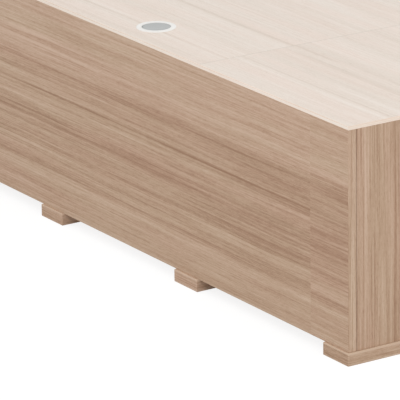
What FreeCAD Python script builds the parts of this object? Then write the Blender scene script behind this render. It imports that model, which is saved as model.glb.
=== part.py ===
"""Teacher desk: a long panel carcass on four runners, with a knee space between two pedestals.

The right pedestal holds a stack of three drawers beside a computer cupboard, the left one a
two-door cupboard with a shelf. The pale worktop lies on sub-tops and has a cable grommet.

Frame: millimetres, +Z up, origin under the middle of the desk on the floor. The long front
panel faces -Y, the teacher sits at +Y, and +X is the drawer side.
"""
import FreeCAD, Part
import os

V = FreeCAD.Vector
X, Y, Z = V(1, 0, 0), V(0, 1, 0), V(0, 0, 1)

# Overall sizes
desk_length = 2546.0            # over the end panels
desk_height = 740.0             # floor to worktop
carcass_depth = 918.0           # face of the front panel to the teacher's side of the pedestals
top_overhang = 49.0             # worktop past the pedestals, over the teacher's knees
inner_runner_pitch = 800.0      # between the two inner runners, and the partitions above them

# Board thicknesses
panel_thickness = 28.0          # front panel, end panels and partitions
board_thickness = 18.0          # base boards, sub-tops, divider, shelf, doors and drawer fronts
top_thickness = 12.0            # worktop boards
panel_band = 1.0                # edge band on the front panel's ends
top_band = 2.0                  # edge band round the worktop
arris = 1.0                     # eased edges of the visible boards
seam_arris = 0.4                # eased upper edges where two worktop boards meet

# Runners
runner_height = 40.0
runner_width = 130.0
runner_proud = 7.0              # past the carcass at the front, the back and the ends
runner_screw_inset = 150.0      # first and last screw from the runner board's ends
screw_shank_radius = 2.25
screw_head_radius = 4.5
screw_head_length = 4.0
screw_recess = 12.0             # depth of the counterbore in the runner
screw_grip = 35.0               # thread in the board above
screw_hole_clearance = 0.15
screw_recess_clearance = 0.8

# Worktop
worktop_end_length = 793.0      # length of the right and left worktop boards

# Cable grommet
grommet_from_end = 1219.0       # axis to the right end panel's outer face
grommet_from_front = 120.0      # axis to the front panel's face
grommet_flange_radius = 63.5
grommet_flange_height = 2.5     # flange above the worktop
grommet_liner_radius = 50.0
grommet_liner_wall = 2.0
grommet_hole_clearance = 0.5
lid_radius = 46.2
lid_thickness = 3.0
lid_recess = 1.2                # lid's top below the flange's top
lid_clearance = 0.3
lid_ledge_width = 3.5
lid_ledge_thickness = 3.0

# Cable port between the computer cupboard and the knee space
port_radius = 30.0
port_from_panel = 80.0          # axis to the front panel's inner face
port_below_sub_top = 70.0

# Cam fittings that pull board edges on to board faces
cam_radius = 7.35
cam_length = 12.5
cam_depth = 8.0                 # bolt's axis below the face that the cam is let into
cam_set_back = 34.0             # cam's axis from the joint
cam_clearance = 0.15
bolt_radius = 3.0
bolt_grip = 9.0                 # bolt's thread in the face board
bolt_clearance = 0.1
panel_joint_inset = 90.0        # first and last fitting along an upright edge
board_joint_inset = 60.0        # first and last fitting along a level edge

# Doors, hinges and catches
reveal = 2.4                    # gap round the doors and drawer fronts
hinge_length = 60.0
hinge_inset = 90.0              # hinge's near end from the door's top or bottom
leaf_thickness = 1.0
leaf_width = 18.0
knuckle_radius = 3.0
knuckle_gap = 0.3
hinge_pin_radius = 1.5
hinge_pin_clearance = 0.05
pin_head_radius = 2.4
pin_head_height = 1.2
catch_length = 44.0
catch_depth = 14.0
catch_height = 12.0
catch_gap = 0.3

# Shelf in the left cupboard
shelf_height = 380.0            # shelf's underside above the floor
shelf_set_back = 20.0           # from the doors' inner faces
shelf_side_clearance = 1.0
shelf_pin_radius = 2.5
shelf_pin_grip = 8.0
shelf_pin_reach = 8.0
shelf_pin_inset = 70.0          # pins from the shelf's front and back edges
shelf_pin_clearance = 0.05

# Drawers
top_front_height = 150.0
middle_front_height = 190.0
drawer_depth = 550.0            # box behind its front
drawer_wall = 12.0
drawer_bottom = 6.0
bottom_lift = 10.0              # bottom board above the walls' lower edges
groove_depth = 5.0
groove_clearance = 0.1
box_lift = 14.0                 # walls above the front's lower edge
box_drop = 30.0                 # walls below the front's upper edge
slide_space = 12.7              # between a drawer wall and the cabinet side
slide_height = 40.0
slide_wall = 1.5
slide_running_gap = 0.25
slide_tip_gap = 0.6

# Bow handles
handle_length = 160.0
handle_bar = 10.0               # square section
handle_reach = 30.0
handle_outer_bend = 9.0
handle_inner_bend = 3.0
door_handle_inset = 45.0        # door handle's centre line from the door's free edge
door_handle_drop = 60.0         # door handle's upper end below the door's top

# Lock of the top drawer
lock_from_centre = 130.0        # towards the end panel
lock_drop = 35.0                # below the front's upper edge
lock_flange_radius = 10.0
lock_flange_height = 2.0
lock_body_radius = 8.0
lock_body_clearance = 0.2
lock_core_radius = 6.0
lock_core_clearance = 0.05
keyway_width = 1.4
keyway_length = 8.0
keyway_depth = 6.0
tongue_gap = 1.5                # tongue behind the drawer front
tongue_thickness = 2.0
tongue_width = 12.0
tongue_bite = 8.0               # tongue into the sub-top when locked
tongue_clearance = 2.0

# Planes that the sizes give
half_length = desk_length / 2
front_y = runner_proud - (carcass_depth + top_overhang + runner_proud) / 2
panel_inner_y = front_y + panel_thickness
carcass_back_y = front_y + carcass_depth
fronts_inner_y = carcass_back_y - board_thickness
top_back_y = carcass_back_y + top_overhang
top_underside_z = desk_height - top_thickness
sub_top_z = top_underside_z - board_thickness
base_top_z = runner_height + board_thickness
end_inner_x = half_length - panel_thickness
partition_x = inner_runner_pitch / 2
knee_x = partition_x - panel_thickness / 2
pedestal_x = partition_x + panel_thickness / 2
divider_x = (pedestal_x + end_inner_x) / 2
column_x = divider_x + board_thickness / 2
seam_x = half_length - worktop_end_length
grommet_x = half_length - grommet_from_end
grommet_y = front_y + grommet_from_front


def block(x0, x1, y0, y1, z0, z1):
    """Plain box between two corners."""
    return Part.makeBox(x1 - x0, y1 - y0, z1 - z0, V(x0, y0, z0))


def eased(x0, x1, y0, y1, z0, z1):
    """Box with its edges lightly chamfered."""
    board = block(x0, x1, y0, y1, z0, z1)
    return board.makeChamfer(arris, board.Edges).Solids[0]


def kept(shape, x0, x1, y0, y1, z0, z1):
    """The part of a solid that lies between two corners."""
    return shape.common(block(x0, x1, y0, y1, z0, z1)).Solids[0]


def rod(start, direction, radius, length):
    """Round bar from a point along a direction."""
    return Part.makeCylinder(radius, length, start, direction)


def drilled(board, tools):
    """Board with every tool cut out of it."""
    return board.cut(Part.makeCompound(tools)).Solids[0]


def joined(first, *others):
    """Several overlapping solids made one."""
    return first.fuse(list(others)).removeSplitter().Solids[0]


def mirrored(shape):
    """Shape reflected to the other side of the desk."""
    return shape.mirror(V(0, 0, 0), X).Solids[0]


def spaced(low, high, count):
    """Evenly spaced places from low to high."""
    return [low + (high - low) * i / (count - 1) for i in range(count)]


def banded_front_panel():
    """Front panel at its full length, with the bands on its two ends."""
    return eased(-half_length, half_length, front_y, panel_inner_y, runner_height, top_underside_z)


def front_edge_bands():
    """Bands on the two ends of the front panel."""
    band = kept(banded_front_panel(), half_length - panel_band, half_length,
                front_y, panel_inner_y, runner_height, top_underside_z)
    return [band, mirrored(band)]


def carcass_boards():
    """Upright and level boards of the carcass, before they are drilled."""
    boards = {
        "front_panel": kept(banded_front_panel(), panel_band - half_length,
                            half_length - panel_band, front_y, panel_inner_y,
                            runner_height, top_underside_z),
        "end_panel_right": eased(end_inner_x, half_length,
                                 panel_inner_y, carcass_back_y, runner_height, top_underside_z),
        "partition_right": eased(knee_x, pedestal_x,
                                 panel_inner_y, carcass_back_y, runner_height, top_underside_z),
        "base_board_right": block(pedestal_x, end_inner_x,
                                  panel_inner_y, carcass_back_y, runner_height, base_top_z),
        "sub_top_right": block(pedestal_x, end_inner_x,
                               panel_inner_y, carcass_back_y, sub_top_z, top_underside_z),
    }
    for name in list(boards):
        if name.endswith("_right"):
            boards[name.replace("_right", "_left")] = mirrored(boards[name])
    boards["sub_top_middle"] = block(-knee_x, knee_x, panel_inner_y, carcass_back_y,
                                     sub_top_z, top_underside_z)
    boards["pedestal_divider"] = eased(divider_x - board_thickness / 2, column_x, panel_inner_y,
                                       fronts_inner_y, base_top_z, sub_top_z)
    return boards


def runners():
    """Four flat runners from front to back, one under each upright board."""
    length = carcass_depth + 2 * runner_proud
    centres = {
        "runner_left_end": runner_width / 2 - half_length - runner_proud,
        "runner_left_inner": -partition_x,
        "runner_right_inner": partition_x,
        "runner_right_end": half_length + runner_proud - runner_width / 2,
    }
    low_y = front_y - runner_proud
    return {name: eased(x - runner_width / 2, x + runner_width / 2, low_y, low_y + length,
                        0, runner_height) for name, x in centres.items()}


def cam_places():
    """Each fitting: face board, edge board, point on the joint, way into the edge, cam's side."""
    places = []
    level_y = (panel_inner_y + board_joint_inset, carcass_back_y - board_joint_inset)
    upright_z = spaced(runner_height + panel_joint_inset, top_underside_z - panel_joint_inset, 3)
    for side, name in ((1, "right"), (-1, "left")):
        for z in upright_z:
            for board, x in (("end_panel_", end_inner_x + cam_depth),
                             ("partition_", pedestal_x - cam_depth)):
                cam_side = -side if board == "end_panel_" else side
                places.append(("front_panel", board + name, V(side * x, panel_inner_y, z),
                               Y, X * cam_side))
        for y in level_y:
            for board, z, up in (("base_board_", base_top_z - cam_depth, Z),
                                 ("sub_top_", sub_top_z + cam_depth, -Z)):
                places.append(("end_panel_" + name, board + name, V(side * end_inner_x, y, z),
                               X * -side, up))
                places.append(("partition_" + name, board + name, V(side * pedestal_x, y, z),
                               X * side, up))
            places.append(("partition_" + name, "sub_top_middle",
                           V(side * knee_x, y, sub_top_z + cam_depth), X * -side, -Z))
    divider_cam_x = divider_x - board_thickness / 2 + cam_depth
    for y in level_y:
        for board, z, way in (("base_board_right", base_top_z, Z), ("sub_top_right", sub_top_z, -Z)):
            places.append((board, "pedestal_divider", V(divider_cam_x, y, z), way, -X))
    return places


def fit_cams(boards):
    """Drill the boards for every cam fitting; returns the bolts and the cams."""
    tools = {name: [] for name in boards}
    bolts, cams = [], []
    for face_board, edge_board, point, way, cam_side in cam_places():
        bolt_start = point - way * bolt_grip
        centre = point + way * cam_set_back
        cam_foot = centre + cam_side * (cam_depth - cam_length)
        bolt_hole = rod(bolt_start, way, bolt_radius + bolt_clearance, bolt_grip + cam_set_back)
        bolts.append(rod(bolt_start, way, bolt_radius, bolt_grip + cam_set_back))
        cams.append(drilled(rod(cam_foot, cam_side, cam_radius, cam_length), [bolt_hole]))
        tools[face_board].append(bolt_hole)
        tools[edge_board].append(bolt_hole)
        tools[edge_board].append(rod(cam_foot, cam_side, cam_radius + cam_clearance,
                                     cam_length + board_thickness))
    for name, cuts in tools.items():
        if cuts:
            boards[name] = drilled(boards[name], cuts)
    return bolts, cams


def fit_runner_screws(boards, runner_boards):
    """Screws up through the runners into the uprights; drills both and returns the screws."""
    uprights = {
        "runner_left_end": ("end_panel_left", panel_thickness / 2 - half_length),
        "runner_left_inner": ("partition_left", -partition_x),
        "runner_right_inner": ("partition_right", partition_x),
        "runner_right_end": ("end_panel_right", half_length - panel_thickness / 2),
    }
    screws = []
    head_z = screw_recess
    tip_z = runner_height + screw_grip
    hole_radius = screw_shank_radius + screw_hole_clearance
    for runner, (upright, x) in uprights.items():
        holes, pilots = [], []
        for y in spaced(panel_inner_y + runner_screw_inset, carcass_back_y - runner_screw_inset, 3):
            head = rod(V(x, y, head_z - screw_head_length), Z, screw_head_radius, screw_head_length)
            shank = rod(V(x, y, head_z), Z, screw_shank_radius, tip_z - head_z)
            screws.append(joined(head, shank))
            holes.append(rod(V(x, y, 0), Z, screw_head_radius + screw_recess_clearance, head_z))
            pilot = rod(V(x, y, head_z), Z, hole_radius, tip_z - head_z)
            holes.append(pilot)
            pilots.append(pilot)
        runner_boards[runner] = drilled(runner_boards[runner], holes)
        boards[upright] = drilled(boards[upright], pilots)
    return screws


def grommet_hole():
    """Round cut-out for the grommet through the worktop and the sub-top."""
    return rod(V(grommet_x, grommet_y, sub_top_z), Z, grommet_liner_radius + grommet_hole_clearance,
               desk_height - sub_top_z)


def grommet():
    """Flanged ring with an inner ledge, and the loose lid that lies on the ledge."""
    flange_top = desk_height + grommet_flange_height
    lid_top = flange_top - lid_recess
    ledge_top = lid_top - lid_thickness
    ledge_foot = ledge_top - lid_ledge_thickness
    recess = lid_radius + lid_clearance
    mouth = recess - lid_ledge_width
    bore = grommet_liner_radius - grommet_liner_wall
    bevel = grommet_flange_height / 2
    outline = [(bore, sub_top_z), (grommet_liner_radius, sub_top_z),
               (grommet_liner_radius, desk_height), (grommet_flange_radius, desk_height),
               (grommet_flange_radius, flange_top - bevel), (grommet_flange_radius - bevel, flange_top),
               (recess, flange_top), (recess, ledge_top), (mouth, ledge_top), (mouth, ledge_foot),
               (bore, ledge_foot - lid_ledge_width)]
    points = [V(r, 0, z) for r, z in outline]
    ring = Part.Face(Part.makePolygon(points + points[:1])).revolve(V(0, 0, 0), Z, 360)
    ring.translate(V(grommet_x, grommet_y, 0))
    lid = rod(V(grommet_x, grommet_y, ledge_top), Z, lid_radius, lid_thickness)
    rim = [edge for edge in lid.Edges if abs(edge.CenterOfMass.z - lid_top) < arris]
    return ring.Solids[0], lid.makeChamfer(arris, rim).Solids[0]


def worktop():
    """Three worktop boards and the bands round their outer edges."""
    low_y = front_y + top_band
    high_y = top_back_y - top_band
    end = half_length - top_band
    heights = (top_underside_z, desk_height)
    slab = eased(-half_length, half_length, front_y, top_back_y, *heights)

    def board(x0, x1):
        plain = block(x0, x1, low_y, high_y, *heights)
        seams = [edge for edge in plain.Edges
                 if edge.CenterOfMass.z == desk_height and abs(edge.CenterOfMass.x) == seam_x]
        return plain.makeChamfer(seam_arris, seams).Solids[0]

    right = board(seam_x, end)
    middle = board(-seam_x, seam_x)
    side_band = kept(slab, end, half_length, low_y, high_y, *heights)
    bands = [kept(slab, -half_length, half_length, front_y, low_y, *heights),
             kept(slab, -half_length, half_length, high_y, top_back_y, *heights),
             side_band, mirrored(side_band)]
    return {"worktop_right": [right], "worktop_left": [mirrored(right)],
            "worktop_middle": [drilled(middle, [grommet_hole()])], "worktop_edge_bands": bands}


def shelf(boards):
    """Shelf of the left cupboard on four pins; drills the pins' holes in the uprights."""
    low_x = shelf_side_clearance - end_inner_x
    high_x = -pedestal_x - shelf_side_clearance
    back_y = panel_inner_y + shelf_side_clearance
    front_edge_y = fronts_inner_y - shelf_set_back
    board = eased(low_x, high_x, back_y, front_edge_y, shelf_height, shelf_height + board_thickness)
    pins = []
    pin_z = shelf_height - shelf_pin_radius
    for upright, face_x, way in (("end_panel_left", -end_inner_x, X),
                                 ("partition_left", -pedestal_x, -X)):
        holes = []
        for y in (back_y + shelf_pin_inset, front_edge_y - shelf_pin_inset):
            start = V(face_x, y, pin_z) - way * shelf_pin_grip
            pins.append(rod(start, way, shelf_pin_radius, shelf_pin_grip + shelf_pin_reach))
            holes.append(rod(start, way, shelf_pin_radius + shelf_pin_clearance, shelf_pin_grip))
        boards[upright] = drilled(boards[upright], holes)
    return board, pins


def hinge(face_x, z_low):
    """Butt hinge on an upright's face that looks to +X: fixed leaf, door's leaf and pin."""
    axis_x = face_x + reveal / 2
    axis_y = carcass_back_y + knuckle_radius + knuckle_gap
    third = hinge_length / 3
    bore = rod(V(axis_x, axis_y, z_low), Z, hinge_pin_radius + hinge_pin_clearance, hinge_length)

    def knuckle(z0, z1):
        return rod(V(axis_x, axis_y, z0), Z, knuckle_radius, z1 - z0)

    def plate(x0, z0, z1):
        return block(x0, x0 + leaf_thickness, carcass_back_y - leaf_width, axis_y, z0, z1)

    def web(x0, z0, z1):
        return block(x0, x0 + leaf_thickness, carcass_back_y, axis_y, z0, z1)

    z_high = z_low + hinge_length
    notch_low = z_low + third - knuckle_gap
    notch_high = z_high - third + knuckle_gap
    door_leaf_x = face_x + reveal - leaf_thickness
    fixed = drilled(plate(face_x, z_low, z_high), [web(face_x, notch_low, notch_high)])
    fixed = joined(fixed, knuckle(z_low, notch_low), knuckle(notch_high, z_high))
    moving = drilled(plate(door_leaf_x, z_low, z_high),
                     [web(door_leaf_x, z_low, z_low + third),
                      web(door_leaf_x, z_high - third, z_high)])
    moving = joined(moving, knuckle(z_low + third, z_high - third))
    pin = joined(rod(V(axis_x, axis_y, z_low), Z, hinge_pin_radius, hinge_length),
                 rod(V(axis_x, axis_y, z_high), Z, pin_head_radius, pin_head_height))
    return drilled(fixed, [bore]), drilled(moving, [bore]), pin


def bow_handle():
    """Square bar bent to a bow along X, with its feet on the plane y = 0."""
    half = handle_length / 2
    inner = half - handle_bar
    out, rise = handle_reach, handle_reach - handle_bar
    turn = 1 - 2 ** -0.5

    def corner(x, y, radius, side):
        """Arc that rounds the corner at x, y on the side of the bow that side names."""
        return Part.Arc(V(x, y - radius, 0), V(x - side * radius * turn, y - radius * turn, 0),
                        V(x - side * radius, y, 0)).toShape()

    def line(x0, y0, x1, y1):
        return Part.LineSegment(V(x0, y0, 0), V(x1, y1, 0)).toShape()

    edges = [line(half, 0, half, out - handle_outer_bend),
             corner(half, out, handle_outer_bend, 1),
             line(half - handle_outer_bend, out, handle_outer_bend - half, out),
             corner(-half, out, handle_outer_bend, -1),
             line(-half, out - handle_outer_bend, -half, 0),
             line(-half, 0, -inner, 0),
             line(-inner, 0, -inner, rise - handle_inner_bend),
             corner(-inner, rise, handle_inner_bend, -1),
             line(handle_inner_bend - inner, rise, inner - handle_inner_bend, rise),
             corner(inner, rise, handle_inner_bend, 1),
             line(inner, rise - handle_inner_bend, inner, 0),
             line(inner, 0, half, 0)]
    bow = Part.Face(Part.Wire(Part.__sortEdges__(edges))).extrude(Z * handle_bar)
    bow.translate(V(0, 0, -handle_bar / 2))
    return bow.Solids[0]


def door(low_x, high_x, hinge_side):
    """Inset door between two uprights with its handle and two hinges.

    hinge_side is -1 where the door hangs on the upright at its low X, and 1 at its high X.
    """
    low_z = base_top_z + reveal
    high_z = sub_top_z - reveal
    panel = eased(low_x + reveal, high_x - reveal, fronts_inner_y, carcass_back_y, low_z, high_z)
    free_x = high_x - reveal if hinge_side < 0 else low_x + reveal
    handle = bow_handle()
    handle.rotate(V(0, 0, 0), Y, 90)
    handle.translate(V(free_x + hinge_side * door_handle_inset, carcass_back_y,
                       high_z - door_handle_drop - handle_length / 2))
    face_x = low_x if hinge_side < 0 else -high_x
    hinges = [hinge(face_x, z) for z in (low_z + hinge_inset, high_z - hinge_inset - hinge_length)]
    if hinge_side > 0:
        hinges = [[mirrored(piece) for piece in pieces] for pieces in hinges]
    fixed, moving, pins = ([pieces[i] for pieces in hinges] for i in range(3))
    return panel, handle, fixed, moving, pins


def catches():
    """Magnetic catches under the sub-tops, behind the doors' free edges."""
    places = (-divider_x, divider_x - board_thickness / 2 - catch_length / 2)
    high_y = fronts_inner_y - catch_gap
    return [block(x - catch_length / 2, x + catch_length / 2, high_y - catch_depth, high_y,
                  sub_top_z - catch_height, sub_top_z) for x in places]


def slide_pair(centre_z):
    """Fixed and moving channels on both sides of one drawer."""
    half = slide_height / 2
    low_y = fronts_inner_y - drawer_depth
    outer = block(column_x, column_x + slide_space - slide_tip_gap, low_y, fronts_inner_y,
                  centre_z - half, centre_z + half)
    hollow = half - slide_wall
    outer = drilled(outer, [block(column_x + slide_wall, column_x + slide_space,
                                  low_y, fronts_inner_y, centre_z - hollow, centre_z + hollow)])
    reach = hollow - slide_running_gap
    inner_x = column_x + slide_wall + slide_tip_gap
    inner = block(inner_x, column_x + slide_space, low_y, fronts_inner_y,
                  centre_z - reach, centre_z + reach)
    pocket = reach - slide_wall
    inner = drilled(inner, [block(inner_x, column_x + slide_space - slide_wall,
                                  low_y, fronts_inner_y, centre_z - pocket, centre_z + pocket)])
    middle = V((column_x + end_inner_x) / 2, 0, 0)
    return [[piece, piece.mirror(middle, X).Solids[0]] for piece in (outer, inner)]


def drawer(name, low_z, high_z):
    """One drawer: front, walls, bottom, moving slides and handle, and its fixed channels."""
    low_x = column_x + slide_space
    high_x = end_inner_x - slide_space
    back_y = fronts_inner_y - drawer_depth
    box_low, box_high = low_z + box_lift, high_z - box_drop
    floor_z = box_low + bottom_lift

    def bottom(grow):
        return block(low_x + drawer_wall - groove_depth - grow,
                     high_x - drawer_wall + groove_depth + grow,
                     back_y + drawer_wall - groove_depth - grow,
                     fronts_inner_y + groove_depth + grow,
                     floor_z - grow, floor_z + drawer_bottom + grow)

    groove = [bottom(groove_clearance)]
    front = eased(column_x + reveal, end_inner_x - reveal, fronts_inner_y, carcass_back_y,
                  low_z, high_z)
    walls = [block(x, x + drawer_wall, back_y, fronts_inner_y, box_low, box_high)
             for x in (low_x, high_x - drawer_wall)]
    back = block(low_x + drawer_wall, high_x - drawer_wall, back_y, back_y + drawer_wall,
                 box_low, box_high)
    handle = bow_handle()
    handle.translate(V((low_x + high_x) / 2, carcass_back_y, (low_z + high_z) / 2))
    channels, members = slide_pair((box_low + box_high) / 2)
    nodes = {
        name + "_drawer_front": [drilled(front, groove)],
        name + "_drawer_sides": [drilled(wall, groove) for wall in walls],
        name + "_drawer_back": [drilled(back, groove)],
        name + "_drawer_bottom": [bottom(0)],
        name + "_drawer_slides": members,
        name + "_drawer_handle": [handle],
    }
    return nodes, channels


def lock_axis(front_top_z):
    """Place of the lock's axis on the outer face of the top drawer's front."""
    return V((column_x + end_inner_x) / 2 + lock_from_centre, carcass_back_y,
             front_top_z - lock_drop)


def drawer_lock(front_top_z):
    """Lock of the top drawer: barrel, core with its tongue, hole in the front, slot for the tongue.

    At rest the tongue lies level, clear of the sub-top; turned a quarter it stands in the slot.
    """
    face = lock_axis(front_top_z)
    depth = board_thickness + tongue_gap
    outer_y = carcass_back_y + lock_flange_height
    bore = rod(V(face.x, outer_y, face.z), -Y, lock_core_radius + lock_core_clearance,
               depth + lock_flange_height)
    barrel = joined(rod(face, Y, lock_flange_radius, lock_flange_height),
                    rod(face, -Y, lock_body_radius, board_thickness))
    hole = rod(face, -Y, lock_body_radius + lock_body_clearance, board_thickness)
    keyway = block(face.x - keyway_length / 2, face.x + keyway_length / 2,
                   outer_y - keyway_depth, outer_y,
                   face.z - keyway_width / 2, face.z + keyway_width / 2)
    plug = rod(V(face.x, outer_y, face.z), -Y, lock_core_radius, depth + lock_flange_height)
    tongue_y = carcass_back_y - depth
    reach = sub_top_z - face.z + tongue_bite
    tongue = block(face.x - reach, face.x + tongue_width / 2, tongue_y - tongue_thickness, tongue_y,
                   face.z - tongue_width / 2, face.z + tongue_width / 2)
    core = joined(drilled(plug, [keyway]), tongue)
    entry = (reach ** 2 - (sub_top_z - face.z) ** 2) ** 0.5
    slot = block(face.x - entry - tongue_clearance, face.x + tongue_width / 2 + tongue_clearance,
                 tongue_y - tongue_thickness - tongue_clearance, tongue_y + tongue_clearance,
                 sub_top_z, sub_top_z + tongue_bite + tongue_clearance)
    return drilled(barrel, [bore]), core, hole, slot


def drawer_levels():
    """Lower and upper edges of the drawer fronts, from the top drawer down."""
    top_z = sub_top_z - reveal
    middle_z = top_z - top_front_height - reveal
    bottom_z = middle_z - middle_front_height - reveal
    return {"top": (top_z - top_front_height, top_z),
            "middle": (middle_z - middle_front_height, middle_z),
            "bottom": (base_top_z + reveal, bottom_z)}


def build():
    """Every node's name with its list of solids."""
    boards = carcass_boards()
    runner_boards = runners()
    bolts, cams = fit_cams(boards)
    screws = fit_runner_screws(boards, runner_boards)
    shelf_board, shelf_pins = shelf(boards)
    port = rod(V(knee_x, panel_inner_y + port_from_panel, sub_top_z - port_below_sub_top), X,
               port_radius, panel_thickness)
    boards["partition_right"] = drilled(boards["partition_right"], [port])
    boards["sub_top_middle"] = drilled(boards["sub_top_middle"], [grommet_hole()])
    ring, lid = grommet()
    nodes = worktop()
    channels = []
    levels = drawer_levels()
    for name, (low_z, high_z) in levels.items():
        drawer_nodes, drawer_channels = drawer(name, low_z, high_z)
        nodes.update(drawer_nodes)
        channels += drawer_channels
    barrel, core, lock_hole, tongue_slot = drawer_lock(levels["top"][1])
    nodes["top_drawer_front"] = [drilled(nodes["top_drawer_front"][0], [lock_hole])]
    boards["sub_top_right"] = drilled(boards["sub_top_right"], [tongue_slot])
    fixed_leaves, hinge_pins = [], []
    doors = {"computer_door": (pedestal_x, divider_x - board_thickness / 2, -1),
             "left_cupboard_door": (-end_inner_x, reveal / 2 - divider_x, -1),
             "right_cupboard_door": (-reveal / 2 - divider_x, -pedestal_x, 1)}
    for name, (low_x, high_x, hinge_side) in doors.items():
        panel, handle, fixed, moving, pins = door(low_x, high_x, hinge_side)
        nodes[name] = [panel]
        nodes[name + "_handle"] = [handle]
        nodes[name + "_hinge_leaves"] = moving
        fixed_leaves += fixed
        hinge_pins += pins
    nodes.update({name: [board] for name, board in {**boards, **runner_boards}.items()})
    nodes.update({
        "front_edge_bands": front_edge_bands(), "cupboard_shelf": [shelf_board],
        "shelf_pins": shelf_pins, "grommet_ring": [ring], "grommet_lid": [lid],
        "cam_bolts": bolts, "cam_housings": cams, "runner_screws": screws,
        "slide_channels": channels, "fixed_hinge_leaves": fixed_leaves, "hinge_pins": hinge_pins,
        "magnetic_catches": catches(), "drawer_lock_barrel": [barrel], "drawer_lock_core": [core],
    })
    return nodes


def main():
    """Write one STEP file for each node."""
    os.makedirs("parts", exist_ok=True)
    for name, solids in build().items():
        shape = solids[0] if len(solids) == 1 else Part.makeCompound(solids)
        shape.exportStep("parts/" + name + ".step")


main()
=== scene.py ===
"""Looks of the teacher desk, built round its packed boards.

The boards, bands and runners keep their solids and get wood finishes. The grommet, handles, lock,
hinges, drawer slides, cam fittings, screws and catches are modelled here in finer shape, each in the
place of its plain solid. Lengths are metres, in the desk's own frame: +Z up, the closed front panel
faces -Y, the teacher sits at +Y and +X is the drawer side.
"""
import logging
import math
from collections.abc import Callable, Iterable, Iterator, Sequence
from contextlib import contextmanager
from dataclasses import dataclass, field, replace
from enum import Enum, IntEnum
from functools import cache, cached_property

import bmesh
import bpy
from mathutils import Matrix, Vector


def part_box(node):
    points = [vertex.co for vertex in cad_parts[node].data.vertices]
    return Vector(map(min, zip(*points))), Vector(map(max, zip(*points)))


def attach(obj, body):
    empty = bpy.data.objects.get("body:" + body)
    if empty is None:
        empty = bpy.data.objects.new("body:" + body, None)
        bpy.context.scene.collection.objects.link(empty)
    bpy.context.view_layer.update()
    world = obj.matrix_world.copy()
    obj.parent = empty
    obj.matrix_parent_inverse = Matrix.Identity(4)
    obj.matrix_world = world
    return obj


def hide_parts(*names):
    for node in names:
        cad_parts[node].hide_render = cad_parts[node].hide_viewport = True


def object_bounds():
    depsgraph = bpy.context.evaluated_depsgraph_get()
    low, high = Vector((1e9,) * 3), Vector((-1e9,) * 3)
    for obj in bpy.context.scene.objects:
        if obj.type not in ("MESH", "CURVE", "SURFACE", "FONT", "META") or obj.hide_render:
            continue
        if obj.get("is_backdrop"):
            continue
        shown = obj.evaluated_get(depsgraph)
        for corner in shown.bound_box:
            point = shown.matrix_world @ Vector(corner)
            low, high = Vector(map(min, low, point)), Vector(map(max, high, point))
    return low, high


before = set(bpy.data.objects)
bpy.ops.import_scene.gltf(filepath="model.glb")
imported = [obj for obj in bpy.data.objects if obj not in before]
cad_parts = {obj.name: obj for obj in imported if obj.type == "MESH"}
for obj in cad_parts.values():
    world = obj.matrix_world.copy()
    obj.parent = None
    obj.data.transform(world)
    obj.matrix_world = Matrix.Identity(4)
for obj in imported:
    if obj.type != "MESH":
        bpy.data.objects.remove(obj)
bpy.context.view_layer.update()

log = logging.getLogger("teacher_desk")

Triple = tuple[float, float, float]
Point = tuple[float, float]
Box = tuple[Vector, Vector]

# Points nearer than this are one point.
MERGE = 1e-6
# Side of the small face that becomes the first point of an outline.
DOT = 0.001
# Faces that meet at less than this are shaded as one round face.
SMOOTH_ANGLE = math.radians(35)
# Least part of a direction along an axis that counts as lying along it.
ALONG = 0.9
# Between the patterns of neighbouring boards.
SEED_STEP = 0.61
RIGHT, BACK, UP = Vector((1, 0, 0)), Vector((0, 1, 0)), Vector((0, 0, 1))


def linear(level: int) -> float:
    """One channel of a paint chart, 0 to 255, without the display curve."""
    share = level / 255
    return share / 12.92 if share <= 0.04045 else ((share + 0.055) / 1.055) ** 2.4


def tone(red: int, green: int, blue: int) -> Triple:
    """Scene-linear colour of a paint chart's values."""
    return linear(red), linear(green), linear(blue)


class Value:
    """A value that varies over a surface; arithmetic on it adds Math nodes."""

    def __init__(self, shader: "Shader", socket: bpy.types.NodeSocket) -> None:
        """Wrap a socket of a shader's tree."""
        self.shader = shader
        self.socket = socket

    def apply(self, operation: str, *others: "Value | float") -> "Value":
        """Feed this value and others through one Math node.

        Args:
            operation: The Math node's operation.
            others: Second and third operands.

        Returns:
            The node's result.
        """
        operands = dict(enumerate((self, *others)))
        return self.shader.node("ShaderNodeMath", {"operation": operation}, operands)

    def __add__(self, other: "Value | float") -> "Value":
        """Sum."""
        return self.apply("ADD", other)

    def __sub__(self, other: "Value | float") -> "Value":
        """Difference."""
        return self.apply("SUBTRACT", other)

    def __rsub__(self, other: float) -> "Value":
        """Difference from a number."""
        return self.apply("MULTIPLY_ADD", -1.0, other)

    def __mul__(self, other: "Value | float") -> "Value":
        """Product."""
        return self.apply("MULTIPLY", other)

    def __abs__(self) -> "Value":
        """Size without its sign."""
        return self.apply("ABSOLUTE")

    __radd__ = __add__

    def above(self, level: float) -> "Value":
        """1 where the value is over a level, 0 elsewhere."""
        return self.apply("GREATER_THAN", level)

    def eased(self, low: float, high: float) -> "Value":
        """Smooth rise from 0 at one level to 1 at another."""
        return self.shader.node("ShaderNodeMapRange", {"interpolation_type": "SMOOTHSTEP"},
                                {"Value": self, "From Min": low, "From Max": high})


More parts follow.
